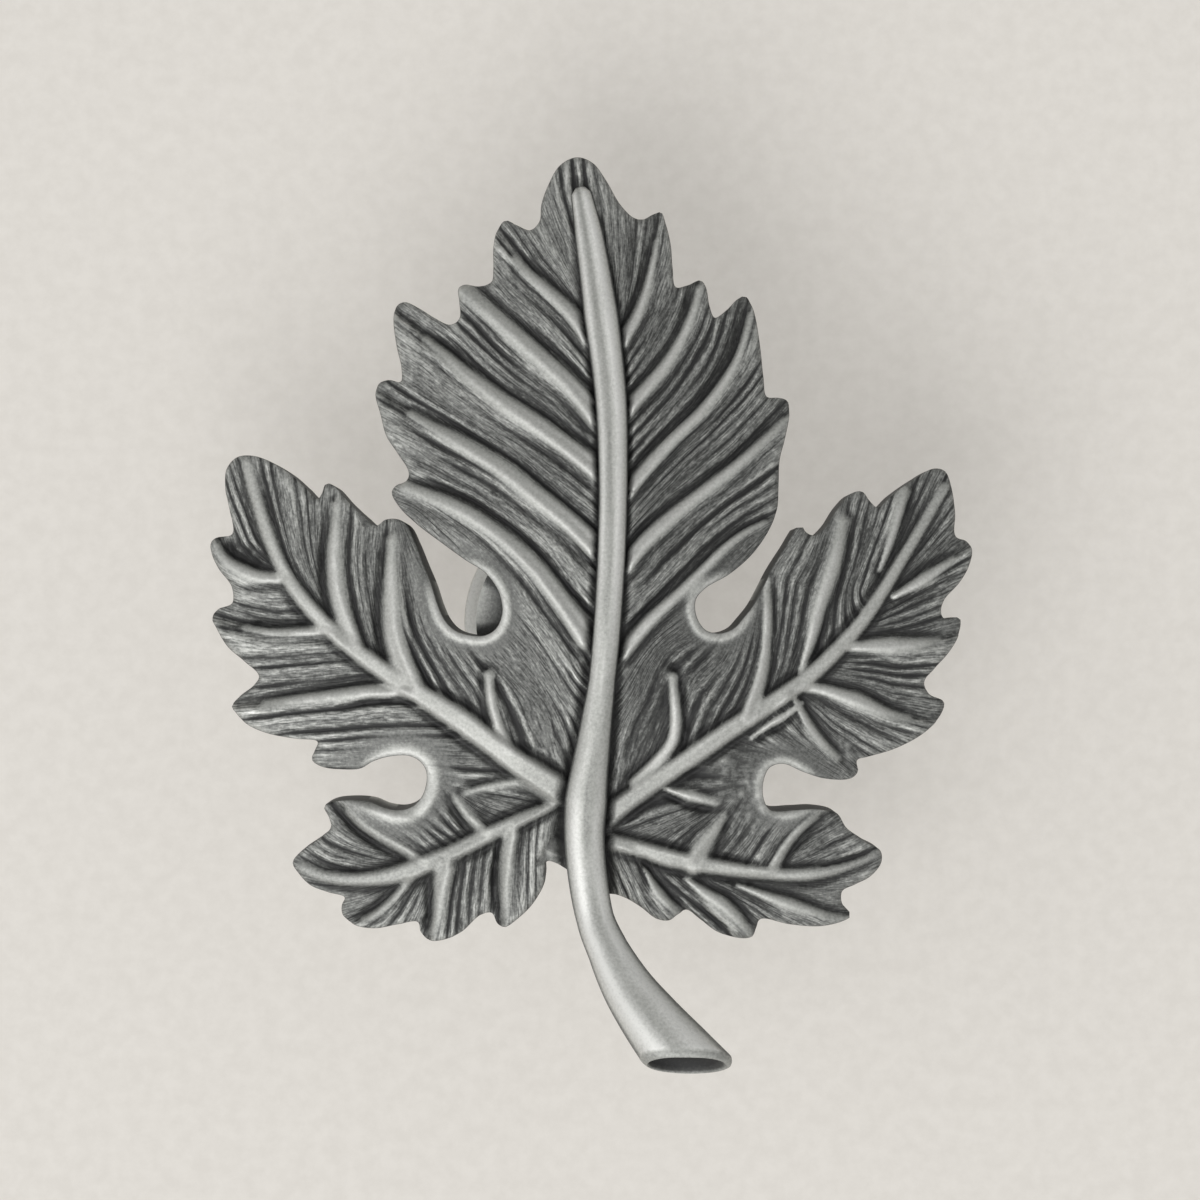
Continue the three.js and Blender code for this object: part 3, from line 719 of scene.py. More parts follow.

# %% [markdown]
# ## The stain, and some painted light and shade
#
# The finish follows the relief. What stands above its surroundings has been rubbed bright, and what lies
# below them has kept the black. Two blurs of the height map give the surroundings at two sizes. The wear is
# then a sum: 0 is the whole black stain and 1 is bare metal, and each line says how much one form adds. A few
# lines are painted light and shade, not stain: a darker right half with brighter crests, a darker pocket
# beside the midrib and dimmer lower lobes.

# %% Wear map, with painted light and shade
FINE_BLUR = 0.35 * MM
BROAD_BLUR = 1.1 * MM
# Painted shade: the pocket between the right stub and the midrib is darkened round this place, so far
POCKET_SHADE = (648, 716)
POCKET_SHADE_SIZE = 3.4 * MM
PLAIN_WEAR = 0.46
small_forms = np.tanh((height_map - blurred(height_map, FINE_BLUR)) / (0.10 * MM))
large_forms = np.tanh((height_map - blurred(height_map, BROAD_BLUR)) / (0.30 * MM))
right_half_shade = smooth_step(grid_x, 0.5 * MM, 6 * MM)  # painted shade on the half turned from the lamps
lower_lobe_shade = smooth_step(-grid_y, 8 * MM, 12 * MM)  # painted shade, dimming lobes that face the lamp
near_edge = 1 - smooth_step(signed, 0.3 * MM, 2.0 * MM)
at_edge = 1 - smooth_step(signed, 0.05 * MM, 0.4 * MM)
pocket_shade = bump(away_from(*POCKET_SHADE) * PIXEL, 0, POCKET_SHADE_SIZE)  # between the right stub and the midrib
wear_and_painted_light_map = PLAIN_WEAR + sum(
    weight * form
    for weight, form in (
        (0.11, small_forms * (1 - 0.5 * rib)),
        (0.07, large_forms * (1 - 0.5 * rib)),
        (0.26, crest),
        (-0.24, groove * (1 - rib)),
        (0.28, lip),
        (-0.60, dent),
        (-0.22, crumbled),
        (0.15, ridged * open_blade),
        (-0.20, valley * open_blade),
        (0.07, broad * open_blade),
        # painted light and shade: right half darker with brighter crests, a shaded pocket, dimmer lower lobes
        (-0.08, right_half_shade),
        (0.12, right_half_shade * crest),
        (-0.09, pocket_shade * (1 - crest)),
        (-0.09, lower_lobe_shade * crest),
        (-0.03, lower_lobe_shade * (1 - right_half_shade)),
        (0.09, near_edge * open_blade * (1 + 0.8 * large_forms)),
        (0.10, at_edge),
    )
)
wear_and_painted_light_map = np.clip(wear_and_painted_light_map, 0, 1)
print("mean wear on the leaf:", round(float(wear_and_painted_light_map[inside].mean()), 2))

# %% [markdown]
# ## The blade
#
# A carved face with thousands of small furrows is best made as a fine grid that is trimmed to the outline and
# then lifted to the height that the map gives. The trimmed edge is a staircase at first. Each vertex on it
# slides to the nearest point of the outline, and the rows next to it are smoothed so that no face is crushed.

# %% Trimmed grid
RIM_INSET = 0.06 * MM
RIM_DEPTH = 0.45 * GRID  # what lies nearer to the outline is trimmed off
blade = bmesh.new()
spot = blade.verts.layers.int.new("spot")  # each rim vertex keeps the number of its point on the outline
bmesh.ops.create_grid(blade, x_segments=int(columns), y_segments=int(rows), size=0.5)
corner = Vector(min((v.co for v in blade.verts), key=lambda co: co.x + co.y))
bmesh.ops.translate(blade, verts=blade.verts, vec=-corner)
opposite = max((v.co for v in blade.verts), key=lambda co: co.x + co.y)
bmesh.ops.scale(blade, verts=blade.verts, vec=(columns * GRID / opposite.x, rows * GRID / opposite.y, 1))
bmesh.ops.translate(blade, verts=blade.verts, vec=(*low, 0))


def trim(mesh, verts, least):
    """Removes the vertices nearer to the outline than least, then the spikes that are left hanging."""
    verts = list(verts)
    depth = read_map(signed, [v.co for v in verts])
    gone = [v for v, value in zip(verts, depth) if value < least]
    kept = {v for v, value in zip(verts, depth) if value >= least}
    bmesh.ops.delete(mesh, geom=gone, context="VERTS")
    while True:
        spikes = [f for v in kept for f in v.link_faces if sum(e.is_boundary for e in f.edges) > 2]
        if spikes:
            bmesh.ops.delete(mesh, geom=list(set(spikes)), context="FACES")
        pinched = [v for v in kept if v.is_valid and sum(e.is_boundary for e in v.link_edges) > 2]
        if pinched:
            bmesh.ops.delete(mesh, geom=pinched, context="VERTS")
        kept = {v for v in kept if v.is_valid}
        if not spikes and not pinched:
            return kept


trim(blade, blade.verts, RIM_DEPTH)
print(len(blade.verts), "vertices on the face of the blade")


# %% The staircase becomes the outline
SOFTENED = 3.2 * GRID  # the rows of vertices within this depth are smoothed


def nearest_spots(verts):
    return [edge_tree.find((v.co.x, v.co.y, 0))[1] for v in verts]


def on_outline(numbers, out):
    """Places so far outside the outline, beside its numbered points."""
    return edge[numbers] + edge_out[numbers] * out


rim = [v for v in blade.verts if v.is_boundary]
for _ in range(6):
    for v, (x, y) in zip(rim, on_outline(nearest_spots(rim), -RIM_INSET)):
        v.co = (x, y, 0)
    middles = []
    for v in rim:
        beside = [e.other_vert(v).co for e in v.link_edges if e.is_boundary]
        middles.append((beside[0] + beside[1] + v.co * 2) / 4)
    for v, middle in zip(rim, middles):
        v.co = middle
for v, number in zip(rim, nearest_spots(rim)):
    v[spot] = number
for v, (x, y) in zip(rim, on_outline([v[spot] for v in rim], -RIM_INSET)):
    v.co = (x, y, 0)
near_rim = [v for v in blade.verts if not v.is_boundary]
depth = read_map(signed, [v.co for v in near_rim])
near_rim = [v for v, value in zip(near_rim, depth) if value < SOFTENED]
for _ in range(3):
    bmesh.ops.smooth_vert(blade, verts=near_rim, factor=0.5, use_axis_x=True, use_axis_y=True)
print(len(rim), "vertices round the rim")

# %% [markdown]
# The walls are extruded from the rim, ring by ring: a little outwards to round the edge, down, and a little
# inwards at the back. A wall stands square to the domed face, so its foot is drawn in towards the post.

# %% Heights, walls and the back
RIM_RADIUS = 0.26 * MM
rim_share = np.clip(signed / RIM_RADIUS, 0, 1)
rim_fall = RIM_RADIUS * (1 - np.sqrt(1 - (1 - rim_share) ** 2))
front_map = height_map - 0.9 * rim_fall


def front_height(points):
    """How high the finished face stands at each place."""
    points = np.asarray(points)
    return face_height(points[:, 0], points[:, 1]) + read_map(front_map, points)


def drawn_in(points, depth):
    """Places under the face, at so great a depth square to it."""
    x, y = points[:, 0], points[:, 1]
    return points * (1 - depth * DOME_SLOPE / (DOME_BEND_RADIUS * bend(x, y)))[:, None]


def extruded(mesh, loop):
    """Extrudes a loop of edges, and gives the new loop and its vertices."""
    made = bmesh.ops.extrude_edge_only(mesh, edges=loop)["geom"]
    edges = [e for e in made if isinstance(e, bmesh.types.BMEdge)]
    return edges, [v for v in made if isinstance(v, bmesh.types.BMVert)]


flat = np.array([v.co[:2] for v in blade.verts])
for v, (x, y), height in zip(blade.verts, flat, front_height(flat)):
    v.co = (x, y, height)

# For each ring of the wall, in mm: how far outside the outline, and how far below the rim or above the back
WALL = [
    (-0.01, 0.10, 0), (-0.01, 0.30, 0), (-0.01, 0.75, 0),
    (-0.01, 0, 0.35), (-0.04, 0, 0.10), (-0.10, 0, 0.0),
]
loop = [e for e in blade.edges if e.is_boundary]
for out, below_rim, above_back in WALL:
    loop, ring = extruded(blade, loop)
    numbers = [v[spot] for v in ring]
    base = on_outline(numbers, out * MM)
    face = face_height(base[:, 0], base[:, 1])
    if below_rim:
        height = front_height(on_outline(numbers, -RIM_INSET)) - below_rim * MM
    else:
        height = face - blade_thickness(base[:, 0], base[:, 1]) + above_back * MM
    depth = np.clip(face - height, 0, None)
    for v, (x, y), z in zip(ring, drawn_in(base, depth), height):
        v.co = (x, y, z)
print(len(WALL), "rings of the wall")

# %% Back of the blade
BACK_GRID = 1.2 * MM
BACK_CELLS = (44, 54)
BACK_MARGIN = 0.7 * MM
back_plane = bmesh.new()
bmesh.ops.create_grid(back_plane, x_segments=BACK_CELLS[0], y_segments=BACK_CELLS[1], size=0.5)
back_size = (BACK_CELLS[0] * BACK_GRID, BACK_CELLS[1] * BACK_GRID, 1)
bmesh.ops.scale(back_plane, verts=back_plane.verts, vec=back_size)
trim(back_plane, back_plane.verts, BACK_MARGIN)
inner = bpy.data.meshes.new("back")
back_plane.to_mesh(inner)
back_plane.free()
before = set(blade.verts)
blade.from_mesh(inner)
bpy.data.meshes.remove(inner)
inner_verts = [v for v in blade.verts if v not in before]
for v, (x, y) in zip(ring, on_outline(numbers, WALL[-1][0] * MM)):
    v.co = (x, y, 0)
inner_loop = [e for v in inner_verts for e in v.link_edges if e.is_boundary]
bmesh.ops.triangle_fill(blade, use_beauty=True, edges=list(set(loop + inner_loop)), normal=(0, 0, 1))
for group in (ring, inner_verts):
    base = np.array([v.co[:2] for v in group])
    back_depth = blade_thickness(base[:, 0], base[:, 1])
    back = face_height(base[:, 0], base[:, 1]) - back_depth
    for v, (x, y), z in zip(group, drawn_in(base, back_depth), back):
        v.co = (x, y, z)
bmesh.ops.delete(blade, geom=[e for e in blade.edges if e.is_wire], context="EDGES")
bmesh.ops.delete(blade, geom=[v for v in blade.verts if not v.link_faces], context="VERTS")
bmesh.ops.recalc_face_normals(blade, faces=blade.faces)


def describe(name, mesh):
    open_edges = sum(not e.is_manifold for e in mesh.edges)
    volume = round(mesh.calc_volume() / MM**3)
    print(f"{name}: {len(mesh.faces)} faces, {open_edges} open edges, {volume} mm3")


describe("blade", blade)

# %% [markdown]
# ## The midrib and the stalk
#
# One rod runs from the tip of the leaf to the end of the stalk. It lies half sunk in the blade, then grows
# thicker and lifts off it. A shallow channel runs down its upper part, and the stalk is slightly flattened
# on top. Its rings are extruded along the smooth line, and the end is cut off with one plane and hollowed, as
# the photograph shows.

# %% Rod from tip to stalk
ROD_SIDES = 36
ROD_STEPS = 8
STALK_FROM = 7  # the point of the midrib from which it lifts off the blade
ROD_RISE = 0.40 * MM
STALK_LIFT = 1.9 * MM
STALK_DEPTH = 0.86  # of its width
STALK_END_Y = (PHOTO_POST[1] - PHOTO_STALK_END_Y) * PIXEL
STALK_END_TILT = math.radians(19)
END_SHIFT = MIDRIB_WIDTHS[-2] * PIXEL * STALK_DEPTH / 2 * math.sin(STALK_END_TILT)


def rod_line():
    """Points along the rod's middle."""
    points = []
    for index, (x, y) in enumerate(place(MIDRIB)):
        lift = smooth_step(index, STALK_FROM, len(MIDRIB) - 1)
        on_blade = face_height(x, y) + ROD_RISE
        points.append((x, y, on_blade + (FACE_HEIGHT + STALK_LIFT - on_blade) * lift))
    return smooth_curve(points, ROD_STEPS)


rod_middle = rod_line()
rod_halves = midrib_halves(rod_middle, ROD_STEPS)
rod_run = run_along(rod_middle)


def rod_section(angle, part):
    """The section's radius at an angle from its top, as a share of half the width."""
    turn = np.degrees(angle)
    channel = 0.34 * (1 - smooth_step(part, 0.30, 0.50)) * bump(turn, 6, 24)
    hollow_side = 0.11 * smooth_step(part, 0.62, 0.80) * bump(turn, -12, 26)
    return 1 - channel - hollow_side


rod = bmesh.new()
ring = bmesh.ops.create_circle(rod, segments=ROD_SIDES, radius=1)["verts"]
angles = [math.atan2(v.co.x, v.co.y) for v in ring]
loop = list(rod.edges)
rod.faces.new(ring)
for step, (middle, half) in enumerate(zip(rod_middle, rod_halves)):
    ahead = rod_middle[min(step + 1, len(rod_middle) - 1)] - rod_middle[max(step - 1, 0)]
    across_rod = np.array((ahead[1], -ahead[0], 0)) / math.hypot(ahead[0], ahead[1])
    up = np.cross(across_rod, ahead / np.linalg.norm(ahead))
    if step:
        loop, ring = extruded(rod, loop)
    part = rod_run[step] / rod_run[-1]
    blunt = math.sqrt(1 - (1 - min(1, rod_run[step] / half)) ** 2) * 0.5 + 0.5
    for v, angle in zip(ring, angles):
        radius = half * blunt * rod_section(angle, part)
        v.co = middle + across_rod * math.sin(angle) * radius + up * math.cos(angle) * radius * STALK_DEPTH
print("rod:", len(rod.faces), "faces,", round(rod_run[-1] / MM, 1), "mm long")

# %% Cut end and its hollow
END_ROUND = 0.60 * MM  # so much of the end's edge is rounded
# Each ring's size as a share of the first one, and how far in mm it lies behind the end's plane
END_RINGS = [
    (0.985, 0.36), (0.955, 0.18), (0.92, 0.06), (0.88, 0.0), (0.84, 0.05), (0.79, 0.18), (0.72, 0.38),
    (0.62, 0.62), (0.42, 0.86), (0.20, 0.95),
]
HOLLOW_FROM = 0.92  # the ring's share from which the hollow begins to shift
HOLLOW_SHIFT = 0.7 * MM  # how far the hollow would lie to the left of the end's middle, if it had no size
plane_out = Vector((0, -math.cos(STALK_END_TILT), math.sin(STALK_END_TILT)))
plane_point = Vector((0, STALK_END_Y + END_SHIFT, FACE_HEIGHT + STALK_LIFT))
everything = [*rod.verts, *rod.edges, *rod.faces]
cut_at = plane_point - plane_out * END_ROUND
bmesh.ops.bisect_plane(rod, geom=everything, plane_co=cut_at, plane_no=plane_out, clear_outer=True)
loop = [e for e in rod.edges if e.is_boundary]
mouth = {v for e in loop for v in e.verts}
centre = sum((v.co for v in mouth), Vector()) / len(mouth)
rod_way = (Vector(rod_middle[-1] - rod_middle[-2]).normalized() + plane_out).normalized()
middle_before, share_before = centre, 1.0
for share, depth in END_RINGS:
    middle = centre + rod_way * ((END_ROUND - depth * MM) / rod_way.dot(plane_out))
    middle.x -= HOLLOW_SHIFT * max(0, HOLLOW_FROM - share)
    loop, ring = extruded(rod, loop)
    for v in ring:
        v.co = middle + (v.co - middle_before) * (share / share_before)
    middle_before, share_before = middle, share
end_centre = middle
bmesh.ops.poke(rod, faces=bmesh.ops.contextual_create(rod, geom=loop)["faces"])
bmesh.ops.recalc_face_normals(rod, faces=rod.faces)
describe("rod", rod)

# %% [markdown]
# ## The post
#
# The post is turned, so it is one profile spun round the axis. A blind hole with a thread runs up its middle
# for the screw that holds the knob. The thread is cut as rings at a machine screw's pitch, which looks the
# same as a helix this deep in a hole.

# %% Post
FOOT_RADIUS, FOOT_HEIGHT = 7.6 * MM, 1.8 * MM
FOOT_EDGE, FOOT_TOP_EDGE = 0.45 * MM, 0.15 * MM
WAIST_RADIUS, WAIST_HEIGHT = 4.5 * MM, 7.5 * MM
CROWN_RADIUS, CROWN_HEIGHT = 6.75 * MM, 17.3 * MM
HOLE_RADIUS, HOLE_DEPTH, HOLE_POINT = 1.8 * MM, 11 * MM, 1.1 * MM
MOUTH_RADIUS, THREAD_RADIUS, PITCH = 2.4 * MM, 2.06 * MM, 0.79 * MM
POST_SIDES = 72


def bezier(a, b, c, d, steps):
    """Points of the curve that leaves a towards b and reaches d from c."""
    t = np.linspace(0, 1, steps + 1)[:, None]
    a, b, c, d = (np.array(point) for point in (a, b, c, d))
    return (1 - t) ** 3 * a + 3 * (1 - t) ** 2 * t * b + 3 * (1 - t) * t**2 * c + t**3 * d


mouth_depth = MOUTH_RADIUS - HOLE_RADIUS
profile = [(0, HOLE_DEPTH + HOLE_POINT), (HOLE_RADIUS, HOLE_DEPTH)]
z = HOLE_DEPTH - PITCH
while z > mouth_depth + PITCH:
    profile += [(HOLE_RADIUS, z), (THREAD_RADIUS, z - PITCH / 2)]
    z -= PITCH
profile += [(HOLE_RADIUS, mouth_depth), (MOUTH_RADIUS, 0)]
for turn in np.radians([0, 22.5, 45, 67.5, 90]):
    profile.append((FOOT_RADIUS - FOOT_EDGE * (1 - math.sin(turn)), FOOT_EDGE * (1 - math.cos(turn))))
profile += [(FOOT_RADIUS, FOOT_HEIGHT - FOOT_TOP_EDGE), (FOOT_RADIUS - FOOT_TOP_EDGE, FOOT_HEIGHT)]
waist = (WAIST_RADIUS, WAIST_HEIGHT)
lower_curve = bezier(
    (FOOT_RADIUS, FOOT_HEIGHT), (WAIST_RADIUS + 0.3 * MM, FOOT_HEIGHT + 0.4 * MM),
    (WAIST_RADIUS, WAIST_HEIGHT - 3 * MM), waist, 16,
)
upper_curve = bezier(
    waist, (WAIST_RADIUS, WAIST_HEIGHT + 4.5 * MM),
    (WAIST_RADIUS + 1.2 * MM, CROWN_HEIGHT - 2 * MM), (CROWN_RADIUS, CROWN_HEIGHT), 14,
)
profile += [tuple(point) for point in (*lower_curve[2:], *upper_curve[1:])]
profile.append((0, CROWN_HEIGHT))

post = bmesh.new()
points = [post.verts.new((radius, 0, height)) for radius, height in profile]
line = [post.edges.new(pair) for pair in zip(points, points[1:])]
bmesh.ops.spin(
    post, geom=points + line, cent=(0, 0, 0), axis=(0, 0, 1), angle=math.tau, steps=POST_SIDES, use_merge=True
)
bmesh.ops.remove_doubles(post, verts=post.verts, dist=0.001 * MM)
bmesh.ops.dissolve_degenerate(post, edges=post.edges, dist=0.0005 * MM)
bmesh.ops.recalc_face_normals(post, faces=post.faces)
describe("post", post)

# %% [markdown]
# ## One casting
#
# The real knob is one piece of metal, so the blade, the rod and the post are joined into one closed mesh. The
# Boolean modifier with the manifold solver does this quickly and keeps the fine faces as they are.

# %% Union
scene = bpy.context.scene


def to_object(mesh, name):
    data = bpy.data.meshes.new(name)
    bmesh.ops.triangulate(mesh, faces=mesh.faces)
    mesh.to_mesh(data)
    mesh.free()
    made = bpy.data.objects.new(name, data)
    scene.collection.objects.link(made)
    return made


parts = [to_object(mesh, name) for mesh, name in ((blade, "blade"), (rod, "rod"), (post, "post"))]
for other in parts[1:]:
    joint = parts[0].modifiers.new(other.name, "BOOLEAN")
    joint.operation = "UNION"
    joint.solver = "MANIFOLD"
    joint.object = other
joined = bpy.data.meshes.new_from_object(parts[0].evaluated_get(bpy.context.evaluated_depsgraph_get()))
for part in parts:
    bpy.data.objects.remove(part)
knob = bpy.data.objects.new("pewter_leaf_knob", joined)
scene.collection.objects.link(knob)
joined.name = "pewter_leaf_knob"
check = bmesh.new()
check.from_mesh(joined)
describe("knob", check)
check.free()
joined.shade_smooth()
joined.set_sharp_from_angle(angle=math.radians(60))

# %% [markdown]
# ## Wear and grain on every vertex
#
# Three numbers and a UV map go from the maps onto the mesh. The wear runs from 0 for black to 1 for rubbed
# bright, and it also carries painted light and shade: highlights along the rod, shade on parts of the leaf.
# Lines says how much of the fine streaks show, and furrow how strong the furrow beside a vertex is.
# The UV map's two axes run across and along the furrows, so that a plain noise texture comes out as fine
# streaks that follow the veins.

# %% Which vertices are face, rod and post
count = len(joined.vertices)
FACE_SLACK = 0.04 * MM
BACK_LEVEL = 15 * MM  # the rod lies above it, and the post's sides below it
POST_REACH = 7.7 * MM


def read_vectors(name):
    """One vector for each vertex."""
    values = np.zeros(count * 3, np.float32)
    joined.vertices.foreach_get(name, values)
    return values.reshape(-1, 3)


co = read_vectors("co").astype(float)
normals = read_vectors("normal")
level = co[:, 2]
front = front_height(co)
depth_in = read_map(signed, co)
on_face = (np.abs(level - front) < FACE_SLACK) & (depth_in > 0.6 * RIM_INSET)

offset, rod_side, run = line_distance(co[:, :2], rod_middle[:, :2])
flat_run = run_along(rod_middle[:, :2])
half = np.interp(run, flat_run, rod_halves)
middle_z = np.interp(run, flat_run, rod_middle[:, 2])
on_rod = ~on_face & (offset < half * 1.06) & (level > middle_z - half * 0.95) & (level > BACK_LEVEL)
on_post = ~on_face & ~on_rod & (np.hypot(co[:, 0], co[:, 1]) < POST_REACH) & (level < BACK_LEVEL + 0.5 * MM)
print("face", on_face.sum(), "rod", on_rod.sum(), "post", on_post.sum(), "of", count, "vertices")

# %% Wear and grain
WALL_REACH = 0.35 * MM
BACK_WEAR = 0.72
ROD_WEAR = 0.78
POST_WEAR = 0.97
CUT_WEAR = 0.62
HOLLOW_WEAR = 0.56  # at the hollow's mouth; it falls to 0 inside
# Painted highlights and shade along the rod: how much each adds, its middle from 1 left to -1 right, width
UPPER_LIGHT_AND_SHADE = [(0.12, 0.66, 0.2), (0.24, -0.5, 0.3), (-0.10, 0.12, 0.25)]
LOWER_LIGHT_AND_SHADE = [(0.20, 0.5, 0.28), (-0.10, -0.12, 0.25), (0.20, -0.6, 0.2)]
wall_wear = 0.24 + 0.16 * (1 - smooth_step(front - level, 0.0, 0.3 * MM))
wall_wear = np.where(np.abs(depth_in) < WALL_REACH, wall_wear, BACK_WEAR)
wear = np.where(on_face, read_map(wear_and_painted_light_map, co), wall_wear)

sway = offset / half * rod_side
upper = 1 - smooth_step(run, 24 * MM, 33 * MM)
lower = smooth_step(run, 34 * MM, 42 * MM)
rod_wear_and_light = ROD_WEAR + soft_noise(sway * 4 + 20, run / (2.5 * MM), 31) * 0.06
for where, bands in ((upper, UPPER_LIGHT_AND_SHADE), (lower, LOWER_LIGHT_AND_SHADE)):
    rod_wear_and_light += where * sum(more * bump(sway, middle, width) for more, middle, width in bands)
rod_wear_and_light += 0.08 * lower - 0.13 * bump(run, 41 * MM, 5 * MM)
# Darker at both flanks: stain where the midrib sinks into its bed, painted shade where the stalk turns under
rod_wear_and_light -= (0.60 - 0.15 * lower) * smooth_step(np.abs(sway), 0.84, 1.0)
wear[on_rod] = rod_wear_and_light[on_rod]

end_depth = (np.array(plane_point) - co) @ np.array(plane_out)
from_end = co - np.array(end_centre)
facing_middle = np.einsum("ij,ij->i", from_end, normals) < 0
facing_middle |= np.linalg.norm(from_end, axis=1) < 0.4 * rod_halves[-1]
hollow = on_rod & (end_depth < 1.1 * MM) & (end_depth > 0.01 * MM) & facing_middle
wear[on_rod & (end_depth < 0.5 * MM)] = CUT_WEAR
wear[hollow] = (HOLLOW_WEAR * (1 - smooth_step(end_depth, 0.01 * MM, 0.28 * MM)))[hollow]
wear[on_post] = POST_WEAR
wear = np.clip(wear, 0, 1)

lines = read_map((1 - rib) * (1 - 0.8 * smooth) * (1 - 0.6 * rough), co) * on_face
furrow = read_map(present, co) * on_face
grain = np.stack((read_map(lane, co), read_map(along, co) / MM), 1)
around = np.arctan2(co[:, 1], co[:, 0])
grain[on_post] = np.stack((level / MM * 2, around * 2), 1)[on_post]
for name, values in (("wear", wear), ("lines", lines), ("furrow", furrow)):
    attribute = joined.attributes.new(name, "FLOAT", "POINT")
    attribute.data.foreach_set("value", values.astype(np.float32))
corners = np.zeros(len(joined.loops), np.int32)
joined.loops.foreach_get("vertex_index", corners)
grain_map = joined.uv_layers.new(name="grain")
grain_map.data.foreach_set("uv", grain[corners].astype(np.float32).ravel())
print("mean wear of the finished face:", round(float(wear[on_face].mean()), 2))

# %% [markdown]
# ## Sums on sockets
#
# A shader is a sum of masks and noises. Written as nodes it is hard to read, so this small class lets a
# socket stand in a Python expression, and each operator adds its Math node.

# %% A socket that can be added and multiplied
class Wire:
    """A socket of a material, with the sums that are done on it."""

    def __init__(self, tree, socket):
        self.tree = tree
        self.socket = socket

    def math(self, operation, first, second, clamp=False):
        made = self.tree.nodes.new("ShaderNodeMath")
        made.operation = operation
        made.use_clamp = clamp
        for place_in, value in zip(made.inputs, (first, second)):
            connect(self.tree, value, place_in)
        return Wire(self.tree, made.outputs[0])

    def __add__(self, other):
        return self.math("ADD", self, other)

    def __sub__(self, other):
        return self.math("SUBTRACT", self, other)

    def __rsub__(self, other):
        return self.math("SUBTRACT", other, self)

    def __mul__(self, other):
        return self.math("MULTIPLY", self, other)

    def limited(self):
        """The same value, kept between 0 and 1."""
        return self.math("ADD", self, 0.0, clamp=True)

    __radd__ = __add__
    __rmul__ = __mul__


def connect(tree, value, socket):
    if isinstance(value, Wire):
        tree.links.new(value.socket, socket)
    else:
        socket.default_value = value


class Finish:
    """One material, with a method that adds any node."""

    def __init__(self, name):
        self.material = bpy.data.materials.new(name)
        self.material.use_nodes = True
        self.tree = self.material.node_tree
        self.tree.nodes.clear()

    def node(self, kind, settings=(), output=0, numbered=(), **values):
        made = self.tree.nodes.new("ShaderNode" + kind)
        for key, value in dict(settings).items():
            if key == "stops":
                ramp = made.color_ramp
                while len(ramp.elements) < len(value):
                    ramp.elements.new(1.0)
                for element, (at, colour) in zip(ramp.elements, value):
                    element.position = at
                    element.color = (*colour, 1)
            else:
                setattr(made, key, value)
        for number, value in enumerate(numbered):
            connect(self.tree, value, made.inputs[number])
        for name, value in values.items():
            connect(self.tree, value, made.inputs[name.replace("_", " ")])
        return Wire(self.tree, made.outputs[output]) if len(made.outputs) else None


# %% [markdown]
# ## Antique pewter
#
# Pewter is a soft, slightly greenish grey metal. The antique finish is a black stain that is wiped off while
# wet. So the wear number, with the painted light and shade that it carries, picks the colour from a ramp, the
# stained places are rough and barely metallic, and the rubbed ones are smooth metal. Fine streaks along the
# furrows and a speckle of the casting's grain are added to the wear before the ramp, and the same noises
# roughen the surface through one Bump node.

# %% Pewter
pewter = Finish("antique_pewter")
worn_and_lit = pewter.node("Attribute", {"attribute_name": "wear"}, "Fac")
flow = pewter.node("UVMap", {"uv_map": "grain"})
lined = pewter.node("Attribute", {"attribute_name": "lines"}, "Fac")


def drawn_noise(across_scale, along_scale, shift, detail):
    """Noise that is drawn out along the furrows."""
    placed = pewter.node("Mapping", {}, Vector=flow, Location=(shift, shift, 0.0),
                         Scale=(across_scale, along_scale, 1.0))
    return pewter.node("TexNoise", {"noise_dimensions": "2D"}, Vector=placed, Scale=1.0, Detail=detail,
                       Roughness=0.6)


# A ping-pong of the lane's number is 0 in the middle of each furrow. Three fine lines lie in each lane too,
# and they waver and come and go.
lane_number = pewter.node("SeparateXYZ", Vector=flow)
from_furrow = lane_number.math("PINGPONG", lane_number, 0.5)
strength_here = pewter.node("Attribute", {"attribute_name": "furrow"}, "Fac")
furrow_line = (1.0 - from_furrow * 5.0).limited() * strength_here
wavering = lane_number * 3.0 + drawn_noise(0.9, 0.30, 11.0, 1.0) * 2.0
from_fine = lane_number.math("PINGPONG", wavering, 0.5)
in_patches = ((drawn_noise(3.0, 0.30, 7.0, 1.0) - 0.42) * 6.0).limited()
fine_line = (1.0 - from_fine * 4.0).limited() * in_patches
streaks = drawn_noise(5.0, 1.4, 0.0, 4.0)
here = pewter.node("TexCoord", output="Object")
speckle = pewter.node("TexNoise", {}, Vector=here, Scale=5200.0, Detail=2.0, Roughness=0.6)
cloud = pewter.node("TexNoise", {}, Vector=here, Scale=260.0, Detail=3.0, Roughness=0.5)
drawn = (streaks - 0.5) * 0.72 - furrow_line * 0.34 - fine_line * 0.18
tone = (worn_and_lit + drawn * lined + (speckle - 0.5) * 0.36 + (cloud - 0.5) * 0.08).limited()
colour = pewter.node(
    "ValToRGB",
    {"stops": [(0.0, (0.018, 0.018, 0.018)), (0.26, (0.060, 0.061, 0.058)), (0.48, (0.190, 0.193, 0.184)),
               (0.70, (0.420, 0.424, 0.402)), (1.0, (0.71, 0.71, 0.687))]},
    Fac=tone,
)
roughness = 0.64 - tone * 0.10 + (speckle - 0.5) * 0.12
metallic = (tone * 0.45 + 0.30).limited()
bumps = drawn * lined + speckle * 0.4
normal = pewter.node("Bump", {}, Height=bumps, Strength=0.55, Distance=0.00006)
metal = pewter.node("BsdfPrincipled", {}, Base_Color=colour, Roughness=roughness, Metallic=metallic,
                    Normal=normal)
pewter.node("OutputMaterial", {}, Surface=metal)
joined.materials.clear()
joined.materials.append(pewter.material)
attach(knob, "root")
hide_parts("leaf_knob")

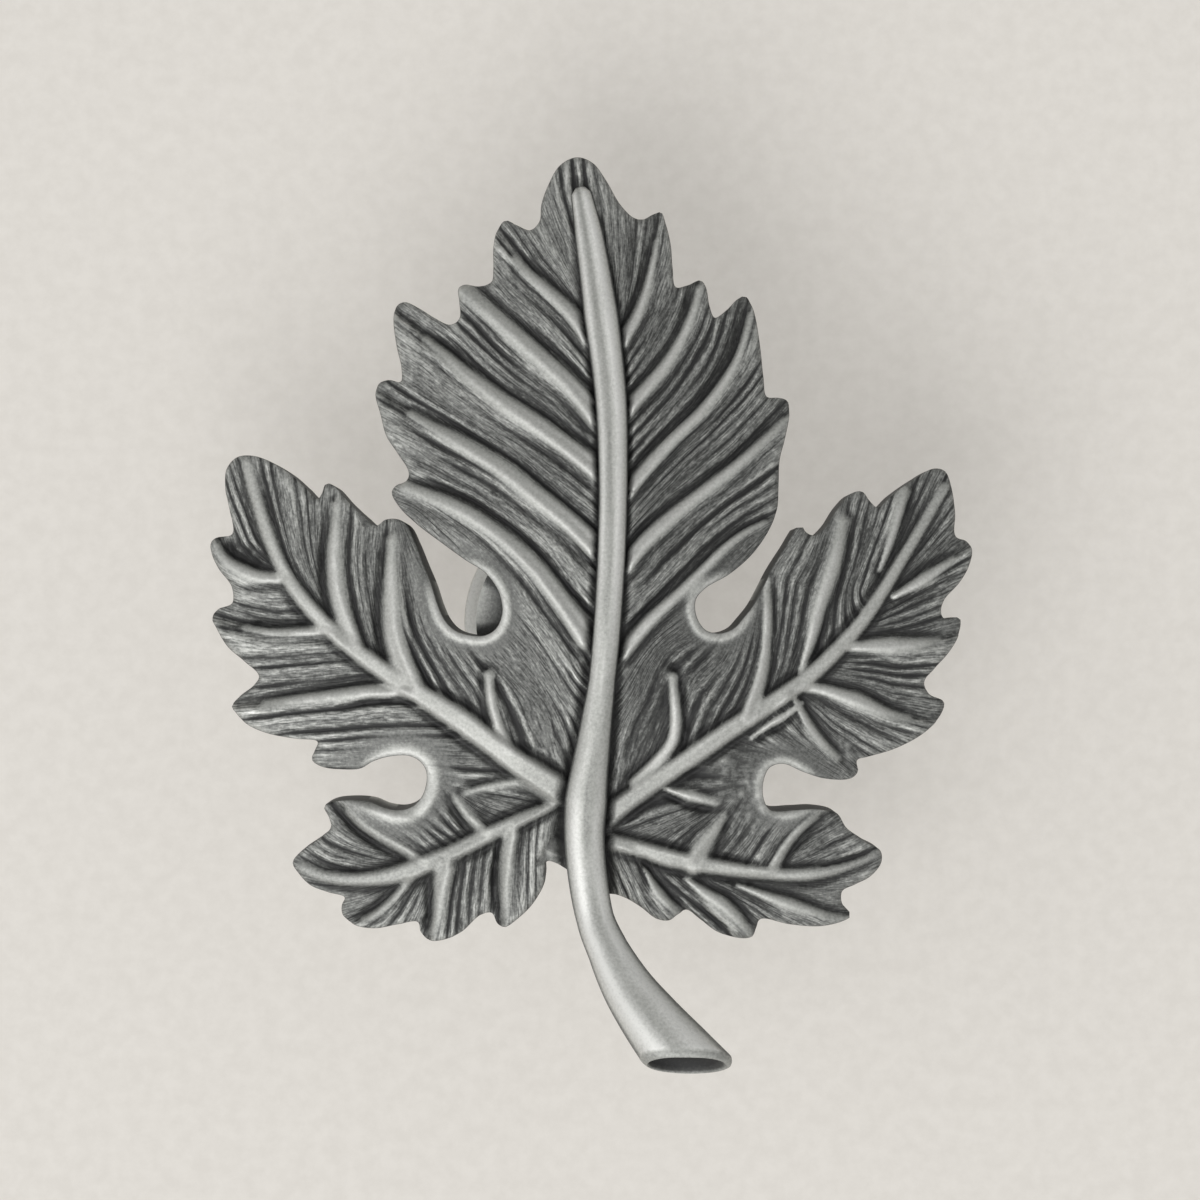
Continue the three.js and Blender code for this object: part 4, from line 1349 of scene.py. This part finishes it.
# %% [markdown]
# ## Floor, light and camera
#
# The knob stands on its foot on plain pale paper, and the camera looks straight down through a long lens. A
# wide soft lamp stands below the picture and a little to its left, a weaker one on the left, and the plain
# world fills the rest. As the camera and the metal see it, half of the paper's colour shines by itself, so
# the shadow on it stays as faint as in the photograph.

# %% Studio
paper = Finish("pale_paper")
fibre_place = paper.node("TexCoord", output="Object")
fibre = paper.node("TexNoise", {}, Vector=fibre_place, Scale=900.0, Detail=4.0, Roughness=0.6)
paper_colour = paper.node(
    "ValToRGB", {"stops": [(0.35, (0.69, 0.66, 0.615)), (0.65, (0.73, 0.70, 0.655))]}, Fac=fibre)
lit_paper = paper.node("BsdfPrincipled", {}, Base_Color=paper_colour, Roughness=0.9)
even_paper = paper.node("Emission", {}, Color=paper_colour, Strength=1.0)
EVEN_SHARE = 0.5
seen = paper.node("LightPath", output="Is Camera Ray")
for ray in ("Is Glossy Ray", "Is Transmission Ray"):
    seen = seen + paper.node("LightPath", output=ray)
shown = paper.node("MixShader", {}, numbered=(seen.limited() * EVEN_SHARE, lit_paper, even_paper))
paper.node("OutputMaterial", {}, Surface=shown)
FLOOR_DROP = 0.05 * MM  # keeps the foot's face from flickering through the floor
floor_mesh = bmesh.new()
bmesh.ops.create_grid(floor_mesh, x_segments=2, y_segments=2, size=1.5)
bmesh.ops.translate(floor_mesh, verts=floor_mesh.verts, vec=(0, 0, -FLOOR_DROP))
floor_data = bpy.data.meshes.new("floor")
floor_mesh.to_mesh(floor_data)
floor_mesh.free()
floor = bpy.data.objects.new("floor", floor_data)
floor.data.materials.append(paper.material)
scene.collection.objects.link(floor)

world = bpy.data.worlds.new("studio")
world.use_nodes = True
sky = world.node_tree.nodes["Background"].inputs
sky["Color"].default_value = (0.80, 0.80, 0.79, 1)
sky["Strength"].default_value = 0.62
scene.world = world


def lamp(name, place_at, size, power):
    data = bpy.data.lights.new(name, "AREA")
    data.shape = "DISK"
    data.size = size
    data.energy = power
    made = bpy.data.objects.new(name, data)
    made.location = place_at
    made.rotation_mode = "QUATERNION"
    made.rotation_quaternion = Vector(place_at).to_track_quat("Z", "Y")
    scene.collection.objects.link(made)
    return made


lamp("lower_left_lamp", (-0.19, -0.44, 0.64), 0.75, 4.75)
lamp("left_lamp", (-0.60, 0.10, 0.45), 0.60, 0.8)

LENS = 900
SENSOR = 36
IMAGE = 1200
IMAGE_CENTRE = place([(IMAGE / 2, IMAGE / 2)])[0]
VIEW_WIDTH = IMAGE * PIXEL
camera_data = bpy.data.cameras.new("camera")
camera_data.lens = LENS
camera_data.sensor_width = SENSOR
camera = bpy.data.objects.new("camera", camera_data)
camera.location = (*IMAGE_CENTRE, FACE_HEIGHT + VIEW_WIDTH * LENS / SENSOR)
camera_data.clip_start = 0.01
scene.collection.objects.link(camera)
scene.camera = camera
scene.view_settings.view_transform = "Standard"
